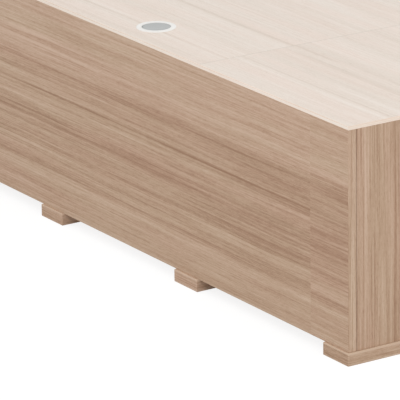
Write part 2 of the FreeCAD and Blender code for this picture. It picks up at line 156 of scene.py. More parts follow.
class Shader:
    """Node tree of one material or world."""

    def __init__(self, owner: bpy.types.Material | bpy.types.World) -> None:
        """Start an empty tree.

        Args:
            owner: Material or world that gets the nodes.
        """
        self.owner = owner
        owner.use_nodes = True
        self.tree = owner.node_tree
        self.tree.nodes.clear()

    def node(self, kind: str, settings: dict[str, object] | None = None,
             inputs: dict[int | str, object] | None = None, output: int | str = 0) -> Value:
        """Add one node.

        Args:
            kind: The node's type.
            settings: Properties that are set first; "stops" are a ramp's (place, colour) pairs.
            inputs: Value or plain default of each named or numbered socket.
            output: Socket of the result.

        Returns:
            The chosen output.
        """
        node = self.tree.nodes.new(kind)
        for key, setting in (settings or {}).items():
            if key == "stops":
                self._set_stops(node.color_ramp, setting)
            else:
                setattr(node, key, setting)
        for key, value in (inputs or {}).items():
            if isinstance(value, Value):
                self.tree.links.new(value.socket, node.inputs[key])
            else:
                node.inputs[key].default_value = value
        return Value(self, node.outputs[output] if len(node.outputs) else None)

    @staticmethod
    def _set_stops(ramp: bpy.types.ColorRamp, stops: tuple[tuple[float, Triple], ...]) -> None:
        """Place a ramp's stops.

        Args:
            ramp: The colour ramp.
            stops: Place and colour of each stop.
        """
        while len(ramp.elements) < len(stops):
            ramp.elements.new(1.0)
        for element, (place, colour) in zip(ramp.elements, stops):
            element.position = place
            element.color = (*colour, 1.0)

    @cached_property
    def place(self) -> Value:
        """Point of the surface in the desk's frame."""
        return self.node("ShaderNodeTexCoord", output="Object")

    @cached_property
    def axes(self) -> tuple[Value, ...]:
        """X, Y and Z of that point."""
        split = self.node("ShaderNodeSeparateXYZ", inputs={0: self.place}).socket.node
        return tuple(Value(self, socket) for socket in split.outputs)

    def vector(self, operation: str, *operands: "Value | Triple") -> Value:
        """Result of one Vector Math node."""
        return self.node("ShaderNodeVectorMath", {"operation": operation}, dict(enumerate(operands)))

    def noise(self, point: Value, scale: Triple, detail: float = 2.0, roughness: float = 0.5) -> Value:
        """Smooth noise about 0.

        Args:
            point: Where the noise is read.
            scale: Repeats per metre along X, Y and Z.
            detail: Octaves of finer noise.
            roughness: Weight of the finer octaves.

        Returns:
            The noise, which stays within half a unit of 0.
        """
        stretched = self.vector("MULTIPLY", point, scale)
        return self.node("ShaderNodeTexNoise", {"noise_dimensions": "3D"}, {
            "Vector": stretched, "Scale": 1.0, "Detail": detail, "Roughness": roughness}) - 0.5

    def blend(self, factor: "Value | float", first: "Value | Triple", second: "Value | Triple",
              way: str = "MIX") -> Value:
        """Mix two colours.

        Args:
            factor: 0 for the first colour, 1 for the mixed one.
            first: Colour at 0.
            second: Colour that is mixed in.
            way: How it is mixed in.

        Returns:
            The mixed colour.
        """
        ends = [end if isinstance(end, Value) else (*end, 1.0) for end in (first, second)]
        return self.node("ShaderNodeMix", {"data_type": "RGBA", "blend_type": way},
                         {"Factor": factor, "A": ends[0], "B": ends[1]}, "Result")

    def bump(self, height: Value, strength: float, depth: float) -> Value:
        """Normal of a surface with a fine relief."""
        return self.node("ShaderNodeBump", inputs={"Height": height, "Strength": strength,
                                                   "Distance": depth})

    def surface(self, **sockets: object) -> bpy.types.Material:
        """Close the tree with one Principled shader.

        Args:
            sockets: Value of each socket, named with underscores for spaces.

        Returns:
            The finished material.
        """
        inputs = {name.replace("_", " "): value for name, value in sockets.items()}
        shader = self.node("ShaderNodeBsdfPrincipled", inputs=inputs)
        self.node("ShaderNodeOutputMaterial", inputs={"Surface": shader})
        return self.owner


class Grain(Enum):
    """Way of the grain: 1 for each axis that lies across it."""

    LEVEL = (0.0, 0.0, 1.0)
    UPRIGHT = (1.0, 1.0, 0.0)
    PLAN = (0.0, 1.0, 1.0)


class Layer(Enum):
    """Noises of a laminate, from the slow wander of its lines to its shortest ticks.

    Each has its repeats per metre across the grain, how many times longer it is along the grain,
    its octaves and the weight of the finer octaves.
    """

    WANDER = (3.0, 3.0, 1.0, 0.5)
    RIPPLE = (22.0, 5.0, 1.0, 0.5)
    LIFE = (13.0, 9.0, 1.0, 0.5)
    CAST = (16.0, 14.0, 2.0, 0.5)
    BANDS = (9.0, 26.0, 2.0, 0.5)
    STRIPES = (46.0, 80.0, 3.0, 0.6)
    LINES = (135.0, 105.0, 2.0, 0.6)
    HATCH = (270.0, 75.0, 1.0, 0.5)
    FLECKS = (310.0, 13.0, 3.0, 0.7)
    FIBRES = (900.0, 30.0, 2.0, 0.6)
    PORES = (1700.0, 26.0, 0.0, 0.5)
    TICKS = (3400.0, 14.0, 0.0, 0.5)

    def read(self, grain: Grain, point: Value) -> Value:
        """Read this noise.

        Args:
            grain: Way of the grain.
            point: Where it is read.

        Returns:
            The noise about 0.
        """
        across, stretch, detail, roughness = self.value
        scale = tuple(across if crosses else across / stretch for crosses in grain.value)
        return point.shader.noise(point, scale, detail, roughness)


@dataclass(frozen=True)
class Streak:
    """One line that runs with the grain: a line of the figure, and in some figures a painted highlight,
    painted light or painted shade; a negative depth is a pale line.

    The fade gives two places along the grain, where the line begins to show and where it is full.
    """

    place: float
    width: float
    depth: float
    fade: Point | None = None

    def drawn(self, level: Value, along: Value) -> Value:
        """Draw the line.

        Args:
            level: Place across the grain.
            along: Place along the grain.

        Returns:
            Darkening by the line.
        """
        line = abs(level - self.place).eased(self.width, 0.0) * self.depth
        return line * along.eased(*self.fade) if self.fade else line


Figure = tuple[Streak, ...]


@dataclass(frozen=True)
class Gap:
    """Thin dark line, drawn for glue lines and for the painted shade in the groove where a board meets its
    neighbour.
    """

    axis: int
    place: float
    width: float = 0.0016
    depth: float = 0.3
    core: float = 0.3

    def drawn(self, axes: tuple[Value, ...]) -> Value:
        """Strength of the line, full over its core."""
        return abs(axes[self.axis] - self.place).eased(self.width, self.width * self.core) * self.depth


@dataclass(frozen=True)
class Flat:
    """Top and bottom of a board with level grain, and the axis that crosses the grain there."""

    low: float
    high: float
    across: int
    skin: float = 0.00005

    @classmethod
    def of(cls, node: str) -> "Flat":
        """Top and bottom of one packed board, whose grain follows its longer side."""
        low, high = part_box(node)
        return cls(low.z, high.z, 0 if high.y - low.y > high.x - low.x else 1)

    def shift(self, axes: tuple[Value, ...]) -> Value:
        """Shift of the pattern that draws its grain on the top and bottom too."""
        middle, reach = (self.low + self.high) / 2, (self.high - self.low) / 2
        return abs(axes[2] - middle).above(reach - self.skin) * axes[self.across]


@dataclass(frozen=True)
class Tones:
    """Colours of a laminate from its dark to its light lines, and the two casts that tint it."""

    dark: Triple
    middle: Triple
    light: Triple
    cool: Triple
    warm: Triple


@dataclass(frozen=True)
class Weights:
    """How strongly each noise of the grain shows."""

    bands: float = 0.5
    stripes: float = 0.7
    lines: float = 1.0
    hatch: float = 0.9
    flecks: float = 0.8
    fibres: float = 0.675
    pores: float = 0.3
    ticks: float = 0.18


@dataclass(frozen=True)
class Wood:
    """Matt wood-grain laminate, whose figure on some boards also holds painted highlights, painted light
    and painted shade.

    The figure's life is the least strength of its lines and the range above that. The edges of
    pores and ticks are the noise at which they begin and are full. The relief is its strength and
    its depth.
    """

    name: str
    grain: Grain
    tones: Tones
    seed: float
    contrast: float = 1.0
    weights: Weights = Weights()
    across: int = 2
    figure: Figure = ()
    joint: float | None = None
    far_figure: Figure = ()
    gaps: tuple[Gap, ...] = ()
    flat: Flat | None = None
    joint_shift: float = 0.37
    wander: float = 0.018
    ripple: float = 0.0035
    figure_drift: float = 0.25
    figure_life: Point = (0.55, 0.9)
    life_reach: float = 0.3
    cast_reach: float = 0.18
    pore_edges: Point = (0.08, 0.18)
    tick_edges: Point = (0.06, 0.20)
    pore_share: float = 0.2
    line_relief: float = 0.5
    gap_tone: float = 0.25
    roughness: float = 0.6
    polish: float = 0.12
    gloss: float = 0.3
    relief: Point = (0.12, 0.0004)

    def material(self) -> bpy.types.Material:
        """Build the laminate.

        Returns:
            The finished material.
        """
        shader = Shader(bpy.data.materials.new(self.name))
        axes, tones = shader.axes, self.tones
        drift = (Layer.WANDER.read(self.grain, shader.place) * self.wander
                 + Layer.RIPPLE.read(self.grain, shader.place) * self.ripple)
        shift = drift + self.seed
        if self.flat:
            shift = shift + self.flat.shift(axes)
        bands = Layer.BANDS.read(self.grain, self._shifted(shader, shift))
        if self.joint is not None:
            shift = shift + axes[0].above(self.joint) * self.joint_shift
        point = self._shifted(shader, shift)
        shade, relief = self._grain(point, bands)
        if self.figure:
            shade = shade - self._drawn(shader, drift)
        colour = shader.node("ShaderNodeValToRGB", {"stops": (
            (0.0, tones.dark), (0.5, tones.middle), (1.0, tones.light))},
            {0: shade * self.contrast + 0.5})
        cast = Layer.CAST.read(self.grain, point).eased(-self.cast_reach, self.cast_reach)
        colour = shader.blend(1.0, colour, shader.blend(cast, tones.cool, tones.warm), "MULTIPLY")
        for gap in self.gaps:
            colour = shader.blend(gap.drawn(axes), colour, tuple(c * self.gap_tone for c in tones.dark))
        return shader.surface(Base_Color=colour, Roughness=self.roughness - shade * self.polish,
                              Specular_IOR_Level=self.gloss, Normal=shader.bump(relief, *self.relief))

    def _shifted(self, shader: Shader, shift: Value) -> Value:
        """Point that reads the pattern further across the grain."""
        way = shader.node("ShaderNodeVectorMath", {"operation": "SCALE"},
                          {0: self.grain.value, "Scale": shift})
        return shader.vector("ADD", shader.place, way)

    def _grain(self, point: Value, bands: Value) -> tuple[Value, Value]:
        """Draw the grain from its broad bands down to its ticks.

        Args:
            point: Where the pattern is read.
            bands: Broad bands, about 0.

        Returns:
            The shade about 0, and the height of the relief.
        """
        stripes, lines, hatch, flecks, fibres = (layer.read(self.grain, point) for layer in (
            Layer.STRIPES, Layer.LINES, Layer.HATCH, Layer.FLECKS, Layer.FIBRES))
        pores = Layer.PORES.read(self.grain, point).eased(*self.pore_edges)
        ticks = Layer.TICKS.read(self.grain, point).eased(*self.tick_edges)
        weights = self.weights
        shade = (bands * weights.bands + stripes * weights.stripes + lines * weights.lines
                 + hatch * weights.hatch + flecks * weights.flecks + fibres * weights.fibres
                 - (pores - self.pore_share) * weights.pores
                 - (ticks - self.pore_share) * weights.ticks)
        return shade, fibres + lines * self.line_relief - pores

    def _drawn(self, shader: Shader, drift: Value) -> Value:
        """Draw the figure's lines.

        Args:
            shader: Tree that gets the nodes.
            drift: Wander of the grain.

        Returns:
            Darkening by the lines.
        """
        level = shader.axes[self.across] + drift * self.figure_drift
        along = shader.axes[2 if self.grain is Grain.UPRIGHT else 0]
        drawn = sum(streak.drawn(level, along) for streak in self.figure)
        if self.joint is not None:
            far = sum(streak.drawn(level, along) for streak in self.far_figure)
            drawn = drawn + (far - drawn) * shader.axes[0].above(self.joint)
        least, spread = self.figure_life
        life = Layer.LIFE.read(self.grain, shader.place).eased(-self.life_reach, self.life_reach)
        return drawn * (life * spread + least)


@dataclass(frozen=True)
class Even:
    """Even colour with fine marks and soft clouds, as on moulded plastic or painted board.

    The shades are those of its darkest and lightest places, and the relief is its strength and its
    depth.
    """

    name: str
    colour: Triple
    roughness: float = 0.42
    marks: Triple = (2600.0, 2600.0, 2600.0)
    octaves: Point = (2.0, 0.5)
    clouds: float = 18.0
    shades: Point = (0.95, 1.04)
    mark_shade: float = 0.2
    cloud_shade: float = 0.6
    mark_gloss: float = 0.1
    cloud_gloss: float = 0.08
    metallic: float = 0.0
    relief: Point = (0.15, 0.0001)

    def material(self) -> bpy.types.Material:
        """Build the finish.

        Returns:
            The finished material.
        """
        shader = Shader(bpy.data.materials.new(self.name))
        marks = shader.noise(shader.place, self.marks, *self.octaves)
        clouds = shader.noise(shader.place, (self.clouds,) * 3)
        dark, light = (tuple(min(1.0, c * shade) for c in self.colour) for shade in self.shades)
        colour = shader.blend(marks * self.mark_shade + clouds * self.cloud_shade + 0.5, dark, light)
        roughness = marks * self.mark_gloss + clouds * self.cloud_gloss + self.roughness
        return shader.surface(Base_Color=colour, Metallic=self.metallic, Roughness=roughness,
                              Normal=shader.bump(marks, *self.relief))


@dataclass(frozen=True)
class Steel(Even):
    """Satin or bright metal, whose marks are drawn out as brush marks."""

    octaves: Point = (3.0, 0.6)
    clouds: float = 35.0
    shades: Point = (0.86, 1.08)
    mark_shade: float = 0.5
    cloud_shade: float = 0.3
    metallic: float = 1.0
    relief: Point = (0.06, 0.0002)


Finish = Wood | Even


@cache
def paint(finish: Finish) -> bpy.types.Material:
    """The one material of a finish."""
    log.info("finish %s", finish.name)
    return finish.material()


def dress(finish: Finish, *nodes: str) -> None:
    """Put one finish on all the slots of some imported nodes.

    Args:
        finish: The finish.
        nodes: Names of the nodes.
    """
    for name in nodes:
        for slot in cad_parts[name].material_slots:
            slot.material = paint(finish)
    log.info("%s: %s", finish.name, ", ".join(nodes))


def nodes_ending(*ends: str) -> list[str]:
    """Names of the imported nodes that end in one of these."""
    return [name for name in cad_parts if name.endswith(ends)]


def clear_selection() -> None:
    """Deselect every object."""
    bpy.ops.object.select_all(action="DESELECT")


def middle_of(box: Box) -> Vector:
    """Centre of a box."""
    return (box[0] + box[1]) / 2


def placed(at: Vector, way: Vector) -> Matrix:
    """Matrix that stands a piece's height axis on a place, along a direction."""
    return Matrix.Translation(at) @ way.to_track_quat("Z", "Y").to_matrix().to_4x4()


class Faces(IntEnum):
    """Flat faces that make up a rounding, by its size."""

    EDGE = 2
    ARRIS = 3
    CORNER = 4
    BEND = 5
    BOW = 8


def arc(centre: Point, radius: float, start: float, end: float,
        steps: int = Faces.CORNER) -> list[Point]:
    """Points of an arc in a section.

    Args:
        centre: The arc's centre.
        radius: Its radius.
        start: Angle of the first point, in degrees.
        end: Angle of the last point, in degrees.
        steps: Straight lines along it.

    Returns:
        The points from start to end.
    """
    angles = [math.radians(start + (end - start) * i / steps) for i in range(steps + 1)]
    return [(centre[0] + radius * math.cos(a), centre[1] + radius * math.sin(a)) for a in angles]


def solids(node: str) -> list[Box]:
    """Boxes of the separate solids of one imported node.

    Args:
        node: The node's name.

    Returns:
        Lowest and highest corner of each solid, in order of X, Y and Z to a tenth of a millimetre.
    """
    mesh = bmesh.new()
    mesh.from_mesh(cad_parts[node].data)
    bmesh.ops.remove_doubles(mesh, verts=mesh.verts, dist=MERGE)
    waiting = set(mesh.verts)
    boxes = []
    while waiting:
        front = [waiting.pop()]
        low, high = front[0].co.copy(), front[0].co.copy()
        while front:
            vertex = front.pop()
            low = Vector(map(min, low, vertex.co))
            high = Vector(map(max, high, vertex.co))
            near = {edge.other_vert(vertex) for edge in vertex.link_edges} & waiting
            waiting -= near
            front.extend(near)
        boxes.append((low, high))
    mesh.free()
    return sorted(boxes, key=lambda box: tuple(round(c, 4) for c in (*box[0], *box[1])))


class Pick(Enum):
    """Kind of element that a tool acts on."""

    EDGE = "edges"
    FACE = "faces"


Test = Callable[[Vector, Vector], bool]


class Piece:
    """A new piece while it is shaped on the bench.

    Each edit-mode tool acts on what was picked before it. A finished piece lies at the origin,
    unturned and unscaled, with its place in its mesh.
    """

    def __init__(self, name: str) -> None:
        """Take the object that was just added."""
        self.object = bpy.context.object
        self.named(name)

    @classmethod
    def block(cls, name: str, low: Vector, high: Vector) -> "Piece":
        """Start from a cube.

        Args:
            name: The piece's name.
            low: Its lowest corner.
            high: Its highest corner.

        Returns:
            The block.
        """
        clear_selection()
        bpy.ops.mesh.primitive_cube_add(size=1.0, location=(low + high) / 2, scale=high - low)
        return cls(name).settled()

    @classmethod
    def rod(cls, name: str, foot: Vector, way: Vector, radius: float, sides: int = 32) -> "Piece":
        """Start from a cylinder.

        Args:
            name: The piece's name.
            foot: Centre of its lower end.
            way: From the lower end to the upper end.
            radius: Its radius.
            sides: Number of flat sides.

        Returns:
            The rod.
        """
        clear_selection()
        turn = way.to_track_quat("Z", "Y").to_euler()
        bpy.ops.mesh.primitive_cylinder_add(vertices=sides, radius=radius, depth=way.length,
                                            location=foot + way / 2, rotation=turn)
        return cls(name).settled()

    @classmethod
    def drawn(cls, name: str, outline: Sequence[Point]) -> "Piece":
        """Draw a line through points of the XZ plane, from one vertex.

        Args:
            name: The piece's name.
            outline: X and Z of each point.

        Returns:
            The drawn line, which is closed where it ends on its first point.
        """
        clear_selection()
        bpy.ops.mesh.primitive_plane_add(size=DOT, location=(outline[0][0], 0.0, outline[0][1]))
        piece = cls(name).settled()
        with piece.editing():
            bpy.ops.mesh.select_all(action="SELECT")
            bpy.ops.mesh.merge(type="CENTER")
            for (x0, z0), (x1, z1) in zip(outline, outline[1:]):
                piece.extrude((x1 - x0, 0.0, z1 - z0))
            bpy.ops.mesh.select_all(action="SELECT")
            bpy.ops.mesh.remove_doubles(threshold=MERGE)
        return piece

    @classmethod
    def turned(cls, name: str, outline: Sequence[Point], foot: Vector,
               way: Vector = UP, steps: int = 48) -> "Piece":
        """Turn an outline round an axis, as on a lathe.

        Args:
            name: The piece's name.
            outline: Radius and height of each point, up the outside and back to the start.
            foot: The axis at height 0.
            way: Direction of the axis.
            steps: Faces round the axis.

        Returns:
            The turned piece.
        """
        piece = cls.drawn(name, outline)
        with piece.editing():
            bpy.ops.mesh.select_all(action="SELECT")
            bpy.ops.mesh.spin(steps=steps, angle=2 * math.pi, center=(0, 0, 0), axis=(0, 0, 1))
            piece.mend()
        return piece.moved(placed(foot, way))

    @classmethod
    def rolled(cls, name: str, outline: Sequence[Point], start: float, end: float) -> "Piece":
        """Draw a closed outline in the XZ plane out along Y.

        Args:
            name: The piece's name.
            outline: X and Z of each corner, ending on the first.
            start: Y of the first end.
            end: Y of the other end.

        Returns:
            The rolled section.
        """
        piece = cls.drawn(name, outline)
        with piece.editing():
            bpy.ops.mesh.select_all(action="SELECT")
            bpy.ops.mesh.edge_face_add()
            bpy.ops.transform.translate(value=(0.0, start, 0.0))
            piece.extrude((0.0, end - start, 0.0))
            piece.mend()
        return piece

    @classmethod
    def gathered(cls, name: str, parts: list["Piece"]) -> "Piece":
        """Join some parts into one piece under a new name."""
        return parts[0].joined(*parts[1:]).named(name)

    def named(self, name: str) -> "Piece":
        """Name the object and its mesh."""
        self.object.name = self.object.data.name = name
        return self

    def choose(self) -> None:
        """Make this the one selected object."""
        clear_selection()
        self.object.select_set(True)
        bpy.context.view_layer.objects.active = self.object

    @contextmanager
    def editing(self) -> Iterator[None]:
        """Hold the piece in edit mode, where points are selected."""
        self.choose()
        bpy.ops.object.mode_set(mode="EDIT")
        bpy.ops.mesh.select_mode(type="VERT")
        yield
        bpy.ops.object.mode_set(mode="OBJECT")

    def settled(self) -> "Piece":
        """Put the object's place, turn and scale into its mesh.

        Returns:
            This piece.
        """
        self.choose()
        bpy.ops.object.transform_apply(location=True, rotation=True, scale=True)
        return self

    def moved(self, place: Matrix) -> "Piece":
        """Move the piece by a matrix."""
        self.object.matrix_world = place
        return self.settled()

    def mend(self) -> None:
        """Merge doubled points and turn the faces outwards."""
        bpy.ops.mesh.select_all(action="SELECT")
        bpy.ops.mesh.remove_doubles(threshold=MERGE)
        bpy.ops.mesh.normals_make_consistent(inside=False)

    def pick(self, kind: Pick, test: Test) -> None:
        """Select elements in edit mode.

        Args:
            kind: Faces or edges.
            test: Told an element's middle and its normal or direction, says whether to take it.
        """
        bpy.ops.mesh.select_mode(type=kind.name)
        bpy.ops.mesh.select_all(action="DESELECT")
        mesh = bmesh.from_edit_mesh(self.object.data)
        for element in getattr(mesh, kind.value):
            if kind is Pick.FACE:
                middle, way = element.calc_center_median(), element.normal
            else:
                start, end = (vertex.co for vertex in element.verts)
                middle, way = (start + end) / 2, (end - start).normalized()
            if test(middle, way):
                element.select_set(True)
        bmesh.update_edit_mesh(self.object.data)

    def extrude(self, move: Triple) -> None:
        """Draw what is picked out."""
        bpy.ops.mesh.extrude_region_move(TRANSFORM_OT_translate={"value": move})

    def bevel(self, width: float, segments: int = Faces.ARRIS) -> None:
        """Round the picked edges."""
        bpy.ops.mesh.bevel(offset=width, segments=segments, affect="EDGES", clamp_overlap=True)

    def bisect(self, axis: Vector, places: Iterable[float]) -> None:
        """Divide the faces in edit mode.

        Args:
            axis: Direction square to the dividing planes.
            places: Place of each plane along it.
        """
        for place in places:
            bpy.ops.mesh.select_all(action="SELECT")
            bpy.ops.mesh.bisect(plane_co=axis * place, plane_no=axis)

    def modified(self, kind: str, **settings: object) -> "Piece":
        """Add one modifier and apply it.

        Args:
            kind: The modifier's type.
            settings: Its properties.

        Returns:
            This piece.
        """
        self.choose()
        bpy.ops.object.modifier_add(type=kind)
        modifier = self.object.modifiers[-1]
        for key, setting in settings.items():
            setattr(modifier, key, setting)
        bpy.ops.object.modifier_apply(modifier=modifier.name)
        return self

    def rounded(self, width: float, segments: int) -> "Piece":
        """Round every sharp edge."""
        return self.modified("BEVEL", width=width, segments=segments, limit_method="ANGLE",
                             angle_limit=SMOOTH_ANGLE)

    def discard(self) -> None:
        """Clear the piece away."""
        bpy.data.objects.remove(self.object)

    def cut(self, tool: "Piece") -> "Piece":
        """Cut a tool out of this piece and clear the tool away.

        Args:
            tool: Closed piece of the shape that is cut away.

        Returns:
            This piece.
        """
        self.modified("BOOLEAN", object=tool.object, operation="DIFFERENCE", solver="EXACT")
        tool.discard()
        return self

    def crossed(self, reach: float, width: float, floor: float, over: float) -> "Piece":
        """Cut a cross recess round the height axis.

        Args:
            reach: Length of each of its four arms.
            width: Half the width of an arm.
            floor: Height of its floor.
            over: Height above the piece that it is cut from.

        Returns:
            This piece.
        """
        for x, y in ((reach, width), (width, reach)):
            self.cut(Piece.block("recess", Vector((-x, -y, floor)), Vector((x, y, over))))
        return self

    def copied(self, place: Matrix) -> "Piece":
        """Copy this piece with its own mesh.

        Args:
            place: Matrix that moves the copy.

        Returns:
            The copy.
        """
        self.choose()
        bpy.ops.object.duplicate(linked=False)
        return Piece(self.object.name + "_copy").moved(place)

    def copies(self, places: Iterable[Matrix]) -> list["Piece"]:
        """Copy this model to every place and clear the model away.

        Args:
            places: Matrix that moves each copy.

        Returns:
            The copies.
        """
        twins = [self.copied(place) for place in places]
        self.discard()
        return twins

    def joined(self, *others: "Piece") -> "Piece":
        """Gather other pieces into this object.

        Args:
            others: The pieces that end in this one.

        Returns:
            This piece.
        """
        self.choose()
        for other in others:
            other.object.select_set(True)
        bpy.ops.object.join()
        return self

    def fitted(self, finish: Finish, body: str, slot: str, *nodes: str) -> "Piece":
        """Finish the piece and set it in the desk.

        Args:
            finish: Its surface.
            body: Body that it rides on.
            slot: Name of its finish's slot; not used.
            nodes: Plain solids that it stands for.

        Returns:
            This piece.
        """
        self.choose()
        bpy.ops.object.shade_smooth_by_angle(angle=SMOOTH_ANGLE)
        self.object.data.materials.clear()
        self.object.data.materials.append(paint(finish))
        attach(self.object, body)
        if nodes:
            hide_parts(*nodes)
        log.info("%s rides on %s", self.object.name, body)
        return self


OAK = Tones(tone(158, 122, 98), tone(190, 158, 134), tone(210, 183, 161),
            cool=(0.986, 1.012, 0.986), warm=(1.008, 0.996, 0.992))
PALE = Tones(tone(216, 201, 187), tone(234, 221, 210), tone(244, 235, 227),
             cool=(0.99, 1.0, 1.0), warm=(1.005, 0.985, 0.98))
CREAM = replace(PALE, dark=tone(234, 213, 195), middle=tone(244, 227, 212), light=tone(249, 237, 225))
SATIN = Steel("satin_steel", (0.62, 0.63, 0.64), 0.34, (60.0, 2500.0, 2500.0))
SATIN_UPRIGHT = replace(SATIN, name="satin_steel_upright", marks=(2500.0, 2500.0, 60.0))
HINGE = Steel("hinge_steel", (0.66, 0.66, 0.66), 0.3, (900.0, 900.0, 90.0))
SLIDE = Steel("slide_steel", (0.72, 0.73, 0.73), 0.38, (900.0, 40.0, 900.0))
ZINC = Steel("zinc_fitting", (0.6, 0.61, 0.62), 0.4, (900.0, 900.0, 900.0))
CHROME = Steel("lock_chrome", (0.78, 0.79, 0.8), 0.16, (700.0, 700.0, 700.0), mark_gloss=0.05)
WHITE_PLASTIC = Even("white_plastic", tone(240, 238, 234))
GREY_PLASTIC = Even("grey_plastic", tone(177, 179, 178))
BROWN_PLASTIC = Even("brown_plastic", tone(110, 84, 64))
DRAWER_BOTTOM = Even("drawer_bottom_board", tone(206, 192, 176), 0.6)


@dataclass
class Carcass:
    """Uprights, level boards, front panel and runners."""

    veneer_joint_inset: float = 0.1966
    front_figure_and_painted_light: Figure = (
        # The broad pale band at 0.670 is partly the laminate's figure and partly painted light that makes
        # the upper part of the panel lighter.
        Streak(0.712, 0.013, -0.19), Streak(0.670, 0.160, -0.30), Streak(0.620, 0.016, 0.22, (0.30, 0.90)),
        Streak(0.582, 0.014, -0.22), Streak(0.570, 0.010, 0.42, (0.45, 0.85)), Streak(0.514, 0.012, 0.34),
        Streak(0.512, 0.011, -0.24, (0.70, 1.00)), Streak(0.490, 0.050, 0.14, (0.45, 0.95)),
        Streak(0.455, 0.018, 0.22, (0.50, 1.00)), Streak(0.432, 0.006, 0.46),
        Streak(0.424, 0.014, 0.18, (0.10, 0.70)), Streak(0.402, 0.012, -0.28),
        Streak(0.392, 0.007, -0.20, (0.10, 0.40)), Streak(0.360, 0.040, 0.11, (0.30, 0.90)),
        Streak(0.346, 0.006, 0.24), Streak(0.331, 0.007, 0.35), Streak(0.314, 0.010, -0.26, (0.50, 0.25)),
        Streak(0.310, 0.022, 0.18, (0.40, 1.00)), Streak(0.272, 0.036, 0.36, (0.20, 1.00)),
        Streak(0.249, 0.007, 0.32), Streak(0.241, 0.006, 0.20), Streak(0.229, 0.009, -0.18),
        Streak(0.176, 0.008, 0.34), Streak(0.168, 0.008, 0.24, (0.50, 0.10)), Streak(0.148, 0.018, -0.32),
        Streak(0.137, 0.009, -0.20, (0.50, 0.25)), Streak(0.084, 0.018, -0.22),
        # Painted light: a pale line that lightens the shade at the foot of the panel.
        Streak(0.046, 0.014, -0.18))
    front_end_figure_and_painted_light: Figure = (
        # The broad pale band at 0.670 is partly the laminate's figure and partly painted light that makes
        # the upper part lighter.
        Streak(0.670, 0.160, -0.30), Streak(0.664, 0.008, 0.24), Streak(0.572, 0.012, -0.24),
        Streak(0.546, 0.014, 0.30), Streak(0.530, 0.032, 0.22), Streak(0.506, 0.018, 0.36),
        Streak(0.482, 0.024, 0.26), Streak(0.479, 0.008, -0.26), Streak(0.428, 0.010, -0.24),
        Streak(0.415, 0.022, 0.18), Streak(0.409, 0.008, -0.36), Streak(0.388, 0.009, 0.26),
        Streak(0.376, 0.010, 0.32), Streak(0.345, 0.006, 0.26), Streak(0.330, 0.016, 0.14),
        Streak(0.322, 0.012, 0.28), Streak(0.295, 0.020, 0.08), Streak(0.254, 0.012, 0.38),
        Streak(0.232, 0.010, -0.18), Streak(0.178, 0.006, 0.26), Streak(0.146, 0.016, -0.30),
        # The pale line at 0.056 is painted light that lightens the shade at the foot of the panel.
        Streak(0.108, 0.010, -0.24), Streak(0.056, 0.020, -0.26))
    end_figure: Figure = (
        Streak(-0.441, 0.008, -0.18, (0.50, 0.34)), Streak(-0.418, 0.007, -0.30, (0.0, 0.40)),
        Streak(-0.407, 0.003, -0.20, (0.40, 0.60)), Streak(-0.400, 0.012, 0.16, (0.42, 0.28)),
        Streak(-0.386, 0.006, 0.36, (0.46, 0.32)), Streak(-0.375, 0.007, -0.24, (0.46, 0.34)),
        Streak(-0.362, 0.030, -0.10), Streak(-0.336, 0.010, -0.26, (0.10, 0.50)),
        Streak(-0.324, 0.009, -0.24), Streak(-0.312, 0.008, 0.30), Streak(-0.296, 0.022, 0.14))
    band_figure: Figure = (
        Streak(-0.460, 0.006, -0.28), Streak(-0.468, 0.020, -0.10),
        Streak(-0.480, 0.007, 0.24, (0.20, 0.50)))
    # Offset behind the end panel's front face and width of the painted shade in the groove of the corner
    # seam.
    seam_offset: float = 0.0015
    seam_width: float = 0.0034
    runner_shades: dict[str, float] = field(default_factory=lambda: {
        "runner_left_end": 0.0, "runner_left_inner": -0.04, "runner_right_inner": -0.07,
        "runner_right_end": 0.12})
    runner_seed: float = 3.2
    runner_seed_step: float = 0.4
    runner_reach: float = 0.12
    # Width and strength of the painted highlight along each runner's top ledge, then of the painted
    # highlight and the painted light on an end runner's outer side.
    ledge: float = 0.007
    ledge_depth: float = -0.80
    side_ledge: float = 0.013
    side_ledge_depth: float = -0.45
    side_painted_light: float = -0.17
    # Depths in an end runner's outer side where its painted light is full and where it ends.
    side_skin: Point = (0.0005, 0.0015)
    thickest: float = 0.05
    band_thickness: float = 0.001
    glue_width: float = 0.00035
    glue_depth: float = 0.28
    # Seed of the first board of each grain, and the boards.
    boards: dict[Grain, tuple[float, tuple[str, ...]]] = field(default_factory=lambda: {
        Grain.LEVEL: (31.0, ("top_drawer_front", "middle_drawer_front", "bottom_drawer_front")),
        Grain.PLAN: (41.0, ("base_board_left", "base_board_right", "sub_top_left", "sub_top_middle",
                            "sub_top_right", "cupboard_shelf")),
        Grain.UPRIGHT: (51.0, ("partition_left", "partition_right", "pedestal_divider",
                               "end_panel_left", "computer_door", "left_cupboard_door",
                               "right_cupboard_door"))})

    def dress(self) -> None:
        """Give every board its laminate."""
        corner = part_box("end_panel_right")
        # Painted shade in the groove where the end panel meets the front panel's edge band.
        seam = Gap(1, corner[0].y + self.seam_offset, self.seam_width)
        dress(Wood("oak_front_panel", Grain.LEVEL, OAK, seed=0.41, contrast=0.78,
                   figure=self.front_figure_and_painted_light, joint=corner[1].x - self.veneer_joint_inset,
                   far_figure=self.front_end_figure_and_painted_light, flat=Flat.of("front_panel")), "front_panel")
        dress(Wood("oak_end_panel", Grain.UPRIGHT, OAK, seed=1.37, contrast=0.82, across=1,
                   figure=self.end_figure, gaps=(seam,)), "end_panel_right")
        dress(Wood("oak_edge_band", Grain.UPRIGHT, OAK, seed=2.11, across=1,
                   figure=self.band_figure, gaps=(seam,)), "front_edge_bands")
